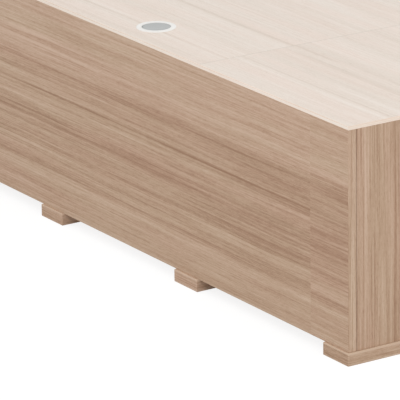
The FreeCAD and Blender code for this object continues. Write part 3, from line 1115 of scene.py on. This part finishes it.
        # Each runner gets its own shade, a painted highlight along its top ledge and, at the ends, painted
        # light on its outer side.
        for number, (runner, shade) in enumerate(self.runner_shades.items()):
            seed = self.runner_seed + number * self.runner_seed_step
            dress(Wood("oak_" + runner, Grain.LEVEL, OAK, seed, figure=self._runner_tone_and_painted_light(runner, shade),
                       flat=Flat.of(runner)), runner)
        for grain, (seed, boards) in self.boards.items():
            for number, board in enumerate(boards):
                flat = Flat.of(board) if grain is Grain.LEVEL else None
                dress(Wood(f"oak_{grain.name.lower()}_grain_{board}", grain, OAK,
                           seed + number * SEED_STEP, gaps=self._glue_lines(board), flat=flat), board)

    def _runner_tone_and_painted_light(self, runner: str, shade: float) -> Figure:
        """Painted highlight on a runner's ledge, its own shade, and painted light on an end one's outer
        side.

        Args:
            runner: The runner's node.
            shade: Darkening of the whole runner.

        Returns:
            The lines, level with the runner's top and foot.
        """
        low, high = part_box(runner)
        # Painted highlight along the top ledge, and the shade of the whole runner.
        figure = (Streak(high.z, self.ledge, self.ledge_depth), Streak(low.z, self.runner_reach, shade))
        if not runner.endswith("_end"):
            return figure
        outer = max(low.x, high.x, key=abs)
        full, start = (outer - math.copysign(skin, outer) for skin in self.side_skin)
        # Painted highlight near the top of the outer side, and painted light over the whole outer side.
        return (*figure, Streak(high.z, self.side_ledge, self.side_ledge_depth, (start, full)),
                Streak(low.z, self.runner_reach, self.side_painted_light, (start, full)))

    def _glue_lines(self, board: str) -> tuple[Gap, ...]:
        """Glue lines of the edge bands on a board's faces.

        Args:
            board: The board's node.

        Returns:
            A line near each end of the board's two broad axes.
        """
        low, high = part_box(board)
        broad = [axis for axis in range(3) if high[axis] - low[axis] > self.thickest]
        return tuple(Gap(axis, place, self.glue_width, self.glue_depth) for axis in broad
                     for place in (low[axis] + self.band_thickness, high[axis] - self.band_thickness))


@dataclass
class Worktop:
    """The three pale boards and their edge bands."""

    figures: dict[str, Figure] = field(default_factory=lambda: {
        "left": (Streak(-0.215, 0.016, 0.24), Streak(-0.402, 0.010, 0.20)),
        "middle": (Streak(-0.130, 0.016, 0.28), Streak(-0.373, 0.013, 0.30), Streak(-0.448, 0.009, 0.12)),
        "right": (Streak(-0.165, 0.028, 0.34, (0.36, 0.88)), Streak(-0.122, 0.010, 0.24, (0.75, 0.60)),
                  Streak(-0.322, 0.010, 0.26), Streak(-0.346, 0.012, -0.20),
                  Streak(-0.276, 0.020, -0.14))})
    weights: Weights = Weights(stripes=0.315, lines=0.45, hatch=0.42, flecks=0.4, fibres=0.315)
    contrast: float = 0.95
    first_seed: float = 7.3
    # Width and depth of the painted shade in the grooves of the two seams.
    seam_width: float = 0.002
    seam_depth: float = 0.25
    edge_seed: float = 11.0
    arris: float = 0.0035
    face_reach: float = 0.6
    # Painted shade of the arris and of the face, along the front and round the end; the front face's
    # negative value is painted light.
    front_painted_shading: Point = (0.35, -0.45)
    end_painted_shading: Point = (0.75, 0.12)

    def dress(self) -> None:
        """Give each board its own run of pale laminate."""
        low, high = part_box("worktop_right")
        seams = (low.x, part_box("worktop_left")[1].x)
        # Painted shade in the grooves of the seams between the boards.
        gaps = tuple(Gap(0, place, self.seam_width, self.seam_depth) for place in seams)
        for number, (side, figure) in enumerate(self.figures.items()):
            dress(Wood("pale_worktop_" + side, Grain.PLAN, PALE, self.first_seed + number, self.contrast,
                       self.weights, across=1, figure=figure, gaps=gaps), "worktop_" + side)
        # The edge band's figure is painted shade along its upper arris, painted light on its front face
        # and painted shade on its end face.
        dress(Wood("pale_edge_band", Grain.LEVEL, CREAM, self.edge_seed, joint=high.x,
                   figure=self._lines(*self.front_painted_shading), far_figure=self._lines(*self.end_painted_shading)),
              "worktop_edge_bands")

    def _lines(self, arris_depth: float, face_depth: float) -> Figure:
        """Painted shade along the upper arris and of the face below it, which a negative depth turns to
        painted light.

        Args:
            arris_depth: Strength of the painted shade along the arris.
            face_depth: Painted shade of the face; a negative value is painted light.

        Returns:
            The two lines.
        """
        low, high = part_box("worktop_edge_bands")
        return (Streak(high.z, self.arris, arris_depth),
                Streak((low.z + high.z) / 2, (high.z - low.z) * self.face_reach, face_depth))


@dataclass
class DrawerBoxes:
    """Boards of the drawer boxes, and the plain bolts and pins."""

    first_seed: float = 21.0
    contrast: float = 0.6

    def dress(self) -> None:
        """Give the drawer boxes and the small plain metal their finishes."""
        for number, board in enumerate(nodes_ending("_drawer_sides", "_drawer_back")):
            dress(Wood("pale_" + board, Grain.LEVEL, PALE, self.first_seed + number * SEED_STEP,
                       self.contrast, flat=Flat.of(board)), board)
        dress(DRAWER_BOTTOM, *nodes_ending("_drawer_bottom"))
        dress(ZINC, "cam_bolts", "shelf_pins")


@dataclass(frozen=True)
class Screw:
    """Round screw head with a cross recess, made with its top at height 0.

    The crown, the shoulder and the recess are shares of the head's radius and of its height, and
    the point's radius and length are shares of the shank's radius.
    """

    radius: float
    height: float
    dome: float
    slot: float
    shoulder: Point = (0.8, 0.35)
    crown: float = 0.45
    point: Point = (0.3, 2.0)
    recess: Point = (0.6, 0.7)
    steps: int = 20

    def model(self, name: str, shank: float = 0.0, length: float = 0.0) -> Piece:
        """Shape one screw.

        Args:
            name: The piece's name.
            shank: Radius of its shank, or 0 for a head alone.
            length: Length of its shank under the head.

        Returns:
            The screw, standing on its axis.
        """
        outline = [(0.0, -self.height), (self.radius, -self.height), (self.radius, -self.dome),
                   (self.radius * self.shoulder[0], -self.dome * self.shoulder[1]),
                   (self.radius * self.crown, 0.0), (0.0, 0.0)]
        if shank:
            foot, (tip, taper) = -self.height - length, self.point
            outline[:1] = [(0.0, foot), (shank * tip, foot), (shank, foot + shank * taper),
                           (shank, -self.height)]
        reach, depth = self.radius * self.recess[0], (self.height - self.dome) * self.recess[1]
        screw = Piece.turned(name, outline, Vector(), steps=self.steps)
        return screw.crossed(reach, self.slot, -depth, self.height)

    def heads(self, places: Iterable[Matrix]) -> list[Piece]:
        """Copies of the head alone at every place."""
        return self.model("head").copies(places)


@dataclass
class Grommet:
    """Cable grommet: a flanged ring, and a lid that lies on the ring's ledge."""

    steps: int = 96
    liner_radius: float = 0.050
    liner_wall: float = 0.002
    lid_gap: float = 0.0003
    ledge_width: float = 0.0035
    ledge_thickness: float = 0.003
    flange_rounding: float = 0.0019
    lip: float = 0.0005
    lid_rounding: float = 0.0009
    lid_rim: float = 0.0027
    dish: float = 0.0004
    notch_radius: float = 0.006
    notch_way: Point = (-0.548, -0.836)

    def build(self) -> None:
        """Model the ring and its lid."""
        low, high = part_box("grommet_ring")
        lid_low, lid_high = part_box("grommet_lid")
        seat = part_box("worktop_middle")[1].z
        axis = middle_of((low, high)) * Vector((1, 1, 0))
        flange = (high.x - low.x) / 2
        lid = (lid_high.x - lid_low.x) / 2
        bore = self.liner_radius - self.liner_wall
        recess = lid + self.lid_gap
        mouth = recess - self.ledge_width
        shelf = lid_low.z - self.ledge_thickness
        bend = self.flange_rounding
        outline = [(bore, low.z), (self.liner_radius, low.z), (self.liner_radius, seat),
                   (flange, seat), *arc((flange - bend, high.z - bend), bend, 0, 90, Faces.BEND),
                   *arc((recess + self.lip, high.z - self.lip), self.lip, 90, 180, Faces.ARRIS),
                   (recess, lid_low.z), (mouth, lid_low.z), (mouth, shelf),
                   (bore, shelf - self.ledge_width), (bore, low.z)]
        ring = Piece.turned("cable_grommet_ring", outline, axis, steps=self.steps)
        ring.fitted(WHITE_PLASTIC, "desk", "white_plastic", "grommet_ring")
        self._lid(axis, lid, lid_low.z, lid_high.z)

    def _lid(self, axis: Vector, radius: float, foot: float, top: float) -> None:
        """Model the lid with its raised rim and finger notch.

        Args:
            axis: The grommet's axis at height 0.
            radius: The lid's radius.
            foot: Height of its underside.
            top: Height of its rim.
        """
        bend, inner = self.lid_rounding, radius - self.lid_rim
        floor = top - self.dish
        outline = [(0.0, foot), (radius, foot), *arc((radius - bend, top - bend), bend, 0, 90),
                   (inner, top), (inner - bend, floor), (0.0, floor)]
        lid = Piece.turned("cable_grommet_lid", outline, axis, steps=self.steps)
        centre = axis + Vector((*self.notch_way, 0.0)) * radius
        notch = Piece.rod("notch", centre + UP * (foot - bend), UP * (top - foot + 2 * bend),
                          self.notch_radius)
        lid.cut(notch).fitted(GREY_PLASTIC, "grommet_lid", "grey_plastic", "grommet_lid")


@dataclass
class Handles:
    """Square bow handles of the drawers and doors."""

    outer_bend: float = 0.009
    inner_bend: float = 0.003
    edge: float = 0.0007

    def build(self) -> None:
        """Model one bow and copy it to every drawer and door."""
        model = self._model()
        for name in nodes_ending("_handle"):
            low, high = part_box(name)
            middle = middle_of((low, high))
            place = Matrix.Translation(Vector((middle.x, low.y, middle.z)))
            finish = SATIN
            if high.z - low.z > high.x - low.x:
                place = place @ Matrix.Rotation(math.pi / 2, 4, "Y")
                finish = SATIN_UPRIGHT
            bow = model.copied(place).named(name.replace("handle", "bow_handle"))
            bow.fitted(finish, name.removesuffix("_handle"), "satin_steel", name)
        model.discard()

    def _model(self) -> Piece:
        """Shape the bow along X with its feet on the plane y = 0.

        Returns:
            The bow.
        """
        low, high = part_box("top_drawer_handle")
        half, bar, reach = (high.x - low.x) / 2, high.z - low.z, high.y - low.y
        leg = half - bar
        bow = Piece.block("bow", Vector((-half, reach - bar, -bar / 2)), Vector((half, reach, bar / 2)))
        with bow.editing():
            bow.bisect(RIGHT, (-leg, leg))
            bow.pick(Pick.FACE, lambda at, way: way.y < -ALONG and abs(at.x) > leg)
            bow.extrude((0.0, bar - reach, 0.0))
            bow.pick(Pick.EDGE, lambda at, way: abs(way.z) > ALONG and at.y > reach - MERGE
                     and abs(at.x) > half - MERGE)
            bow.bevel(self.outer_bend, Faces.BOW)
            bow.pick(Pick.EDGE, lambda at, way: abs(way.z) > ALONG and abs(at.y - reach + bar) < MERGE
                     and abs(abs(at.x) - leg) < MERGE)
            bow.bevel(self.inner_bend, Faces.BEND)
            bow.mend()
        return bow.rounded(self.edge, Faces.EDGE)


@dataclass
class DrawerLock:
    """Cylinder lock of the top drawer."""

    steps: int = 40
    core_radius: float = 0.006
    running_gap: float = 0.00005
    body_radius: float = 0.008
    flange_bend: float = 0.0012
    core_step: float = 0.0008
    keyway_width: float = 0.0014
    keyway_length: float = 0.008
    keyway_depth: float = 0.006
    tongue_thickness: float = 0.002
    tongue_rounding: float = 0.35
    edge: float = 0.0004

    def build(self) -> None:
        """Model the barrel and the core with its tongue."""
        low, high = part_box("drawer_lock_barrel")
        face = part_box("top_drawer_front")[1].y
        axis = middle_of((low, high)) * Vector((1, 0, 1))
        bore, flange = self.core_radius + self.running_gap, (high.x - low.x) / 2
        bend = self.flange_bend
        outline = [(bore, low.y), (self.body_radius, low.y), (self.body_radius, face), (flange, face),
                   (flange, face + self.edge), *arc((flange - bend, high.y - bend), bend, 0, 90),
                   (bore + self.edge, high.y), (bore, high.y - self.edge), (bore, low.y)]
        barrel = Piece.turned("lock_barrel", outline, axis, BACK, self.steps)
        barrel.fitted(CHROME, "top_drawer", "lock_chrome", "drawer_lock_barrel")
        self._core(axis, high.y)

    def _core(self, axis: Vector, face: float) -> None:
        """Model the turning core, its keyway and its tongue.

        Args:
            axis: The lock's axis at y = 0.
            face: Y of the barrel's face.
        """
        low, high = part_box("drawer_lock_core")
        root = low.y + self.tongue_thickness
        outline = [(0.0, root), (self.core_radius, root), (self.core_radius, face - self.core_step),
                   (self.core_radius - self.edge, face - self.edge), (0.0, face - self.edge)]
        core = Piece.turned("lock_core", outline, axis, BACK, self.steps)
        reach = Vector((self.keyway_length / 2, 0, self.keyway_width / 2))
        centre = Vector((axis.x, face - self.keyway_depth, axis.z))
        core.cut(Piece.block("keyway", centre - reach, centre + reach + BACK * 2 * self.keyway_depth))
        tongue = Piece.block("tongue", low, Vector((high.x, root, high.z)))
        with tongue.editing():
            tongue.pick(Pick.EDGE, lambda at, way: abs(way.y) > ALONG)
            tongue.bevel((high.z - low.z) * self.tongue_rounding, Faces.BEND)
        core.joined(tongue).fitted(CHROME, "drawer_lock_core", "lock_chrome", "drawer_lock_core")


@dataclass(frozen=True)
class Leaf:
    """Leaf of a hinge: the box of the whole hinge, and the leaf's side of its pin along X.

    It has the middle knuckle or the two outer ones.
    """

    box: Box
    side: float
    middle: bool


@dataclass
class Hinges:
    """Butt hinges: a fixed leaf, a door's leaf and a headed pin each."""

    plate: float = 0.001
    axis_gap: float = 0.0002
    running_gap: float = 0.0003
    neck: float = 0.6
    corner: float = 0.003
    bore_gap: float = 0.00005
    pin_radius: float = 0.0015
    pin_head: float = 0.0024
    pin_bend: float = 0.0006
    screw: Screw = Screw(radius=0.0024, height=0.0004, dome=0.00015, slot=0.0004)
    screw_inset: float = 0.009
    screw_shares: Triple = (0.14, 0.5, 0.86)
    knuckle_steps: int = 28
    pin_steps: int = 24
    sink: float = 0.00036
    sink_gap: float = 0.0003
    proud: float = 0.000054

    def build(self) -> None:
        """Model the fixed leaves, the doors' leaves and the pins."""
        boxes = solids("fixed_hinge_leaves")
        doors = [name.removesuffix("_hinge_leaves") for name in nodes_ending("_door_hinge_leaves")]
        fixed, moving = [], {door: [] for door in doors}
        for box in boxes:
            door = min(doors, key=lambda name: self._distance(name, box))
            side = math.copysign(1.0, middle_of(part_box(door)).x - middle_of(box).x)
            fixed.append(Leaf(box, -side, False))
            moving[door].append(Leaf(box, side, True))
        self._fit("hinge_fixed_leaves", fixed, "desk", "fixed_hinge_leaves")
        for door, leaves in moving.items():
            self._fit(door + "_hinge_moving_leaves", leaves, door, door + "_hinge_leaves")
        pins = Piece.gathered("hinge_headed_pins", [self._pin(box) for box in boxes])
        pins.fitted(HINGE, "desk", "hinge_steel", "hinge_pins")

    @staticmethod
    def _distance(door: str, box: Box) -> float:
        """How far a hinge lies from a door's nearer upright edge."""
        place = middle_of(box).x
        return min(abs(place - corner.x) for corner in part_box(door))

    def _fit(self, name: str, leaves: list[Leaf], body: str, node: str) -> None:
        """Model the leaves of one node with their screws.

        Args:
            name: The new piece's name.
            leaves: The leaves.
            body: Body that they ride on.
            node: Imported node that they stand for.
        """
        parts, heads = [], []
        for leaf in leaves:
            plate, into = self._plate(leaf), RIGHT * leaf.side
            for hole in self._holes(leaf):
                plate.cut(Piece.rod("sink", hole - into * self.sink, into * 2 * self.sink,
                                    self.screw.radius + self.sink_gap, self.pin_steps))
                heads.append(placed(hole - into * self.proud, -into))
            parts += [plate, *self._knuckles(leaf)]
        whole = Piece.gathered(name, parts + self.screw.heads(heads))
        whole.fitted(HINGE, body, "hinge_steel", node)

    @staticmethod
    def _axis(box: Box) -> tuple[Vector, float]:
        """The pin's axis at height 0, and the knuckles' radius.

        Args:
            box: Box of the whole hinge.

        Returns:
            The axis and the radius.
        """
        radius = (box[1].x - box[0].x) / 2
        return Vector((middle_of(box).x, box[1].y - radius, 0.0)), radius

    def _holes(self, leaf: Leaf) -> list[Vector]:
        """Places of a leaf's screws on its open face.

        Args:
            leaf: The leaf.

        Returns:
            The middle of each hole.
        """
        low, high = leaf.box
        face = middle_of(leaf.box).x + leaf.side * self.axis_gap
        return [Vector((face, low.y + self.screw_inset, low.z + (high.z - low.z) * share))
                for share in self.screw_shares]

    def _spans(self, leaf: Leaf) -> list[Point]:
        """Foot and top of each knuckle of a leaf.

        Args:
            leaf: The leaf.

        Returns:
            The knuckles' heights.
        """
        low, high = leaf.box[0].z, leaf.box[1].z
        third, gap = (high - low) / 3, self.running_gap
        if leaf.middle:
            return [(low + third, high - third)]
        return [(low, low + third - gap), (high - third + gap, high)]

    def _plate(self, leaf: Leaf) -> Piece:
        """Model a leaf's plate with a neck to each knuckle.

        Args:
            leaf: The leaf.

        Returns:
            The plate.
        """
        (low, high), spans = leaf.box, self._spans(leaf)
        axis, radius = self._axis(leaf.box)
        near = axis.x + leaf.side * self.axis_gap
        far = near + leaf.side * self.plate
        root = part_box("computer_door")[1].y
        plate = Piece.block("leaf", Vector((min(near, far), low.y, low.z)),
                            Vector((max(near, far), root, high.z)))
        with plate.editing():
            plate.bisect(UP, sorted({z for span in spans for z in span} - {low.z, high.z}))
            plate.pick(Pick.FACE, lambda at, way: way.y > ALONG
                       and any(start < at.z < end for start, end in spans))
            plate.extrude((0.0, axis.y - radius * self.neck - root, 0.0))
            plate.pick(Pick.EDGE, lambda at, way: abs(way.x) > ALONG and at.y < low.y + MERGE
                       and min(abs(at.z - low.z), abs(at.z - high.z)) < MERGE)
            plate.bevel(self.corner, Faces.CORNER)
        return plate

    def _knuckles(self, leaf: Leaf) -> list[Piece]:
        """Model a leaf's bored knuckles.

        Args:
            leaf: The leaf.

        Returns:
            The knuckles.
        """
        axis, radius = self._axis(leaf.box)
        gap, bore = self.running_gap, self.pin_radius + self.bore_gap
        knuckles = []
        for start, end in self._spans(leaf):
            outline = [(bore, start), (radius - gap, start), (radius, start + gap),
                       (radius, end - gap), (radius - gap, end), (bore, end), (bore, start)]
            knuckles.append(Piece.turned("knuckle", outline, axis, steps=self.knuckle_steps))
        return knuckles

    def _pin(self, box: Box) -> Piece:
        """Model a pin with a domed head.

        Args:
            box: Box of the whole hinge.

        Returns:
            The pin.
        """
        low, high = box
        axis, _ = self._axis(box)
        top = high.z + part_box("hinge_pins")[1].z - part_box("fixed_hinge_leaves")[1].z
        bend = self.pin_bend
        outline = [(0.0, low.z), (self.pin_radius, low.z), (self.pin_radius, high.z),
                   (self.pin_head, high.z),
                   *arc((self.pin_head - bend, top - bend), bend, 0, 90, Faces.ARRIS), (0.0, top)]
        return Piece.turned("pin", outline, axis, steps=self.pin_steps)


@dataclass
class Slides:
    """Side-mounted drawer slides: a channel on the cabinet and a member on the drawer."""

    wall: float = 0.0015
    bend: float = 0.0022
    lip_bend: float = 0.00045
    hole: float = 0.0022
    slot_length: float = 0.009
    slot_rounding: float = 0.96
    slot_inset: float = 0.259
    screw: Screw = Screw(radius=0.0034, height=0.0011, dome=0.0007, slot=0.0005)
    screw_insets: Point = (0.035, 0.515)

    def build(self) -> None:
        """Model the fixed channels and each drawer's members."""
        self._fit("drawer_slide_channels", "slide_channels", "desk", 1.0)
        for drawer in ("top_drawer", "middle_drawer", "bottom_drawer"):
            self._fit(drawer + "_slide_members", drawer + "_slides", drawer, -1.0)

    def _fit(self, name: str, node: str, body: str, facing: float) -> None:
        """Model the sections of one node with their screws.

        Args:
            name: The new piece's name.
            node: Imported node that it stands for.
            body: Body that it rides on.
            facing: 1 where the webs lie on the cabinet's sides, -1 where they lie on the drawer's.
        """
        middle = middle_of(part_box("top_drawer_front")).x
        sections, heads = [], []
        for low, high in solids(node):
            way = math.copysign(1.0, middle - low.x) * facing
            web, lip = (low.x, high.x) if way > 0 else (high.x, low.x)
            sections.append(self._section(web, lip, low, high))
            out = RIGHT * way
            for inset in self.screw_insets:
                at = Vector((web, low.y + inset, (low.z + high.z) / 2))
                heads.append(placed(at + out * (self.wall + self.screw.height), out))
        whole = Piece.gathered(name, sections + self.screw.heads(heads))
        whole.fitted(SLIDE, body, "slide_steel", node)

    def _section(self, web: float, lip: float, low: Vector, high: Vector) -> Piece:
        """Model one rolled section with its slot.

        Args:
            web: Outer face of the web, along X.
            lip: Free edges of the flanges, along X.
            low: Lowest corner.
            high: Highest corner.

        Returns:
            The section.
        """
        inner = web + math.copysign(self.wall, lip - web)
        outline = [(web, low.z), (lip, low.z), (lip, low.z + self.wall), (inner, low.z + self.wall),
                   (inner, high.z - self.wall), (lip, high.z - self.wall), (lip, high.z),
                   (web, high.z), (web, low.z)]
        section = Piece.rolled("section", outline, low.y, high.y)
        bends = {web: self.bend, inner: self.bend - self.wall, lip: self.lip_bend}
        with section.editing():
            for place, width in bends.items():
                section.pick(Pick.EDGE, lambda at, way: abs(way.y) > ALONG and abs(at.x - place) < MERGE)
                section.bevel(width)
            section.mend()
        at = Vector((web, low.y + self.slot_inset, (low.z + high.z) / 2))
        reach = Vector((self.wall * 2, self.slot_length / 2, self.hole))
        slot = Piece.block("slot", at - reach, at + reach)
        with slot.editing():
            slot.pick(Pick.EDGE, lambda at, way: abs(way.x) > ALONG)
            slot.bevel(self.hole * self.slot_rounding, Faces.BEND)
        return section.cut(slot)


@dataclass
class Cams:
    """Round cam housings, each with a rim and a cross recess in its open end."""

    steps: int = 28
    rim: float = 0.0006
    dish: float = 0.0007
    recess_reach: float = 0.0040
    recess_width: float = 0.0007
    recess_depth: float = 0.003

    def build(self) -> None:
        """Model one housing and copy it to every fitting."""
        boxes = solids("cam_housings")
        length, _, width = sorted(boxes[0][1] - boxes[0][0])
        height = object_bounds()[1].z
        pedestals = [middle_of(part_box(name)).x for name in ("computer_door", "base_board_left")]
        places = []
        for low, high in boxes:
            middle, size = middle_of((low, high)), high - low
            pedestal = min(pedestals, key=lambda place: abs(place - middle.x))
            if size.z < size.x:
                way = UP if middle.z < height / 2 else -UP
            else:
                way = RIGHT if middle.x < pedestal else -RIGHT
            places.append(placed(middle + way * length / 2, way))
        whole = Piece.gathered("cam_fittings", self._model(width / 2, length).copies(places))
        whole.fitted(ZINC, "desk", "zinc_fitting", "cam_housings")

    def _model(self, radius: float, length: float) -> Piece:
        """Shape a housing with its open end at height 0.

        Args:
            radius: Its radius.
            length: Its length.

        Returns:
            The housing.
        """
        outline = [(0.0, -length), (radius - self.rim, -length), (radius, self.rim - length),
                   (radius, -self.rim), (radius - self.rim, 0.0), (radius - 2 * self.rim, 0.0),
                   (radius - 3 * self.rim, -self.dish), (0.0, -self.dish)]
        cam = Piece.turned("cam", outline, Vector(), steps=self.steps)
        return cam.crossed(self.recess_reach, self.recess_width, -self.recess_depth, self.rim)


@dataclass
class RunnerScrews:
    """Wood screws up through the runners."""

    shank: float = 0.00225
    head_length: float = 0.004
    dome: float = 0.001
    slot: float = 0.0008

    def build(self) -> None:
        """Model one screw and copy it to every place."""
        boxes = solids("runner_screws")
        size = boxes[0][1] - boxes[0][0]
        model = Screw(size.x / 2, self.head_length, self.dome, self.slot).model(
            "screw", self.shank, size.z - self.head_length)
        copies = model.copies(placed(Vector((*middle_of(box).xy, box[0].z)), -UP) for box in boxes)
        whole = Piece.gathered("runner_wood_screws", copies)
        whole.fitted(ZINC, "desk", "zinc_fitting", "runner_screws")


@dataclass
class Catches:
    """Magnetic catches under the sub-tops, behind the doors' free edges."""

    lug: float = 0.003
    lug_length: float = 0.008
    edge: float = 0.001
    pole: float = 0.0014
    pole_inset: float = 0.0022
    pole_reach: float = 0.0002
    pole_edge: float = 0.0003
    screw: Screw = Screw(radius=0.0026, height=0.0012, dome=0.0006, slot=0.0005)

    def build(self) -> None:
        """Model every catch with its poles and screws."""
        boxes = solids("magnetic_catches")
        cases = Piece.gathered("catch_cases", [self._case(*box) for box in boxes])
        cases.fitted(BROWN_PLASTIC, "desk", "brown_plastic", "magnetic_catches")
        poles = [pole for box in boxes for pole in self._poles(*box)]
        heads = self.screw.heads(place for box in boxes for place in self._seats(*box))
        metal = Piece.gathered("catch_poles_and_screws", poles + heads)
        metal.fitted(ZINC, "desk", "zinc_fitting")

    def _case(self, low: Vector, high: Vector) -> Piece:
        """Model the moulded case with a lug at each end.

        Args:
            low: Lowest corner of the catch.
            high: Highest corner of the catch.

        Returns:
            The case.
        """
        case = Piece.block("case", Vector((low.x, low.y, high.z - self.lug)), high)
        middle = (low.x + high.x) / 2
        with case.editing():
            case.bisect(RIGHT, (low.x + self.lug_length, high.x - self.lug_length))
            case.pick(Pick.FACE, lambda at, way: way.z < -ALONG and abs(at.x - middle) < self.lug)
            case.extrude((0.0, 0.0, low.z + self.lug - high.z))
            case.mend()
        return case.rounded(self.edge, Faces.ARRIS)

    def _poles(self, low: Vector, high: Vector) -> list[Piece]:
        """Model the two pole strips in a case's face.

        Args:
            low: Lowest corner of the catch.
            high: Highest corner of the catch.

        Returns:
            The strips.
        """
        inset, strips = self.lug_length + self.pole_inset, []
        for z in (low.z + self.pole_inset, high.z - self.pole_inset - self.pole):
            strip = Piece.block("pole", Vector((low.x + inset, high.y - self.lug_length, z)),
                                Vector((high.x - inset, high.y + self.pole_reach, z + self.pole)))
            with strip.editing():
                strip.pick(Pick.EDGE, lambda at, way: at.y > high.y)
                strip.bevel(self.pole_edge, Faces.EDGE)
            strips.append(strip)
        return strips

    def _seats(self, low: Vector, high: Vector) -> list[Matrix]:
        """Place of a screw head under each lug."""
        y, z = (low.y + high.y) / 2, high.z - self.lug - self.screw.height
        return [placed(Vector((x, y, z)), -UP)
                for x in (low.x + self.lug_length / 2, high.x - self.lug_length / 2)]


@dataclass
class Studio:
    """White floor and soft even light."""

    floor_size: float = 160.0
    floor_white: float = 0.74
    floor_dim: float = 0.22
    floor_glow: float = 0.85
    world_strength: float = 0.84
    key_power: float = 300.0
    key_size: float = 5.0
    key_place: Triple = (8.0, -6.0, 8.0)
    key_aim: Triple = (0.0, 0.0, 0.4)

    def build(self) -> None:
        """Make the floor, the world and the key light."""
        clear_selection()
        bpy.ops.mesh.primitive_plane_add(size=self.floor_size)
        floor = bpy.context.object
        floor.name = "studio_floor"
        floor.data.materials.append(self._floor_paint())
        floor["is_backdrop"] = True
        self._world()
        light = bpy.data.lights.new("key", "AREA")
        light.energy = self.key_power
        light.size = self.key_size
        lamp = bpy.data.objects.new("key", light)
        bpy.context.scene.collection.objects.link(lamp)
        lamp.location = self.key_place
        lamp.rotation_euler = (Vector(self.key_aim) - lamp.location).to_track_quat("-Z", "Y").to_euler()
        bpy.context.scene.view_settings.view_transform = "Standard"

    @staticmethod
    def _seen(shader: Shader) -> Value:
        """1 for rays that show the backdrop: straight, mirrored or through glass."""
        camera, glossy, through = (shader.node("ShaderNodeLightPath", output=f"Is {kind} Ray")
                                   for kind in ("Camera", "Glossy", "Transmission"))
        return camera.apply("MAXIMUM", glossy).apply("MAXIMUM", through)

    def _floor_paint(self) -> bpy.types.Material:
        """White floor that keeps a faint shadow.

        Returns:
            The floor's material.
        """
        shader = Shader(bpy.data.materials.new("studio_floor"))
        white, dim = (shader.node("ShaderNodeBsdfDiffuse", inputs={"Color": (level, level, level, 1.0)})
                      for level in (self.floor_white, self.floor_dim))
        glow = shader.node("ShaderNodeEmission", inputs={"Color": (1.0, 1.0, 1.0, 1.0),
                                                         "Strength": self.floor_glow})
        bright = shader.node("ShaderNodeAddShader", inputs={0: dim, 1: glow})
        mixed = shader.node("ShaderNodeMixShader", inputs={0: self._seen(shader), 1: white, 2: bright})
        shader.node("ShaderNodeOutputMaterial", inputs={"Surface": mixed})
        return shader.owner

    def _world(self) -> None:
        """Even white light, with a white backdrop behind it."""
        world = bpy.data.worlds.new("studio")
        bpy.context.scene.world = world
        shader = Shader(world)
        level = shader.node("ShaderNodeMapRange", inputs={
            "Value": self._seen(shader), "To Min": self.world_strength, "To Max": 1.0})
        light = shader.node("ShaderNodeBackground", inputs={"Color": (1.0, 1.0, 1.0, 1.0),
                                                            "Strength": level})
        shader.node("ShaderNodeOutputWorld", inputs={"Surface": light})


@dataclass
class Camera:
    """Long lens that looks down on the front right corner, with its angles in degrees."""

    azimuth: float = 56.972
    elevation: float = 18.132
    roll: float = -0.761
    distance: float = 13.277
    lens: float = 387.54
    aim_inset: float = 0.7952
    aim_height: float = 0.3039

    def build(self) -> None:
        """Set up the camera."""
        azimuth, elevation, roll = (math.radians(a) for a in (self.azimuth, self.elevation, self.roll))
        back = Vector((math.sin(azimuth) * math.cos(elevation),
                       -math.cos(azimuth) * math.cos(elevation), math.sin(elevation)))
        level = Vector((math.cos(azimuth), math.sin(azimuth), 0.0))
        above = back.cross(level)
        right = level * math.cos(roll) + above * math.sin(roll)
        up = above * math.cos(roll) - level * math.sin(roll)
        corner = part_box("end_panel_right")[1]
        aim = Vector((corner.x - self.aim_inset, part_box("front_panel")[0].y, self.aim_height))
        data = bpy.data.cameras.new("camera")
        data.lens = self.lens
        camera = bpy.data.objects.new("camera", data)
        bpy.context.scene.collection.objects.link(camera)
        turn = Matrix((right, up, back)).transposed()
        camera.matrix_world = Matrix.Translation(aim + back * self.distance) @ turn.to_4x4()
        bpy.context.scene.camera = camera


def main() -> None:
    """Build the whole scene."""
    logging.basicConfig(level=logging.INFO, format="%(name)s: %(message)s")
    Camera().build()
    Studio().build()
    Carcass().dress()
    Worktop().dress()
    DrawerBoxes().dress()
    for fitting in (Grommet(), Handles(), DrawerLock(), Hinges(), Slides(), Cams(), RunnerScrews(),
                    Catches()):
        fitting.build()


if __name__ == "__main__":
    main()
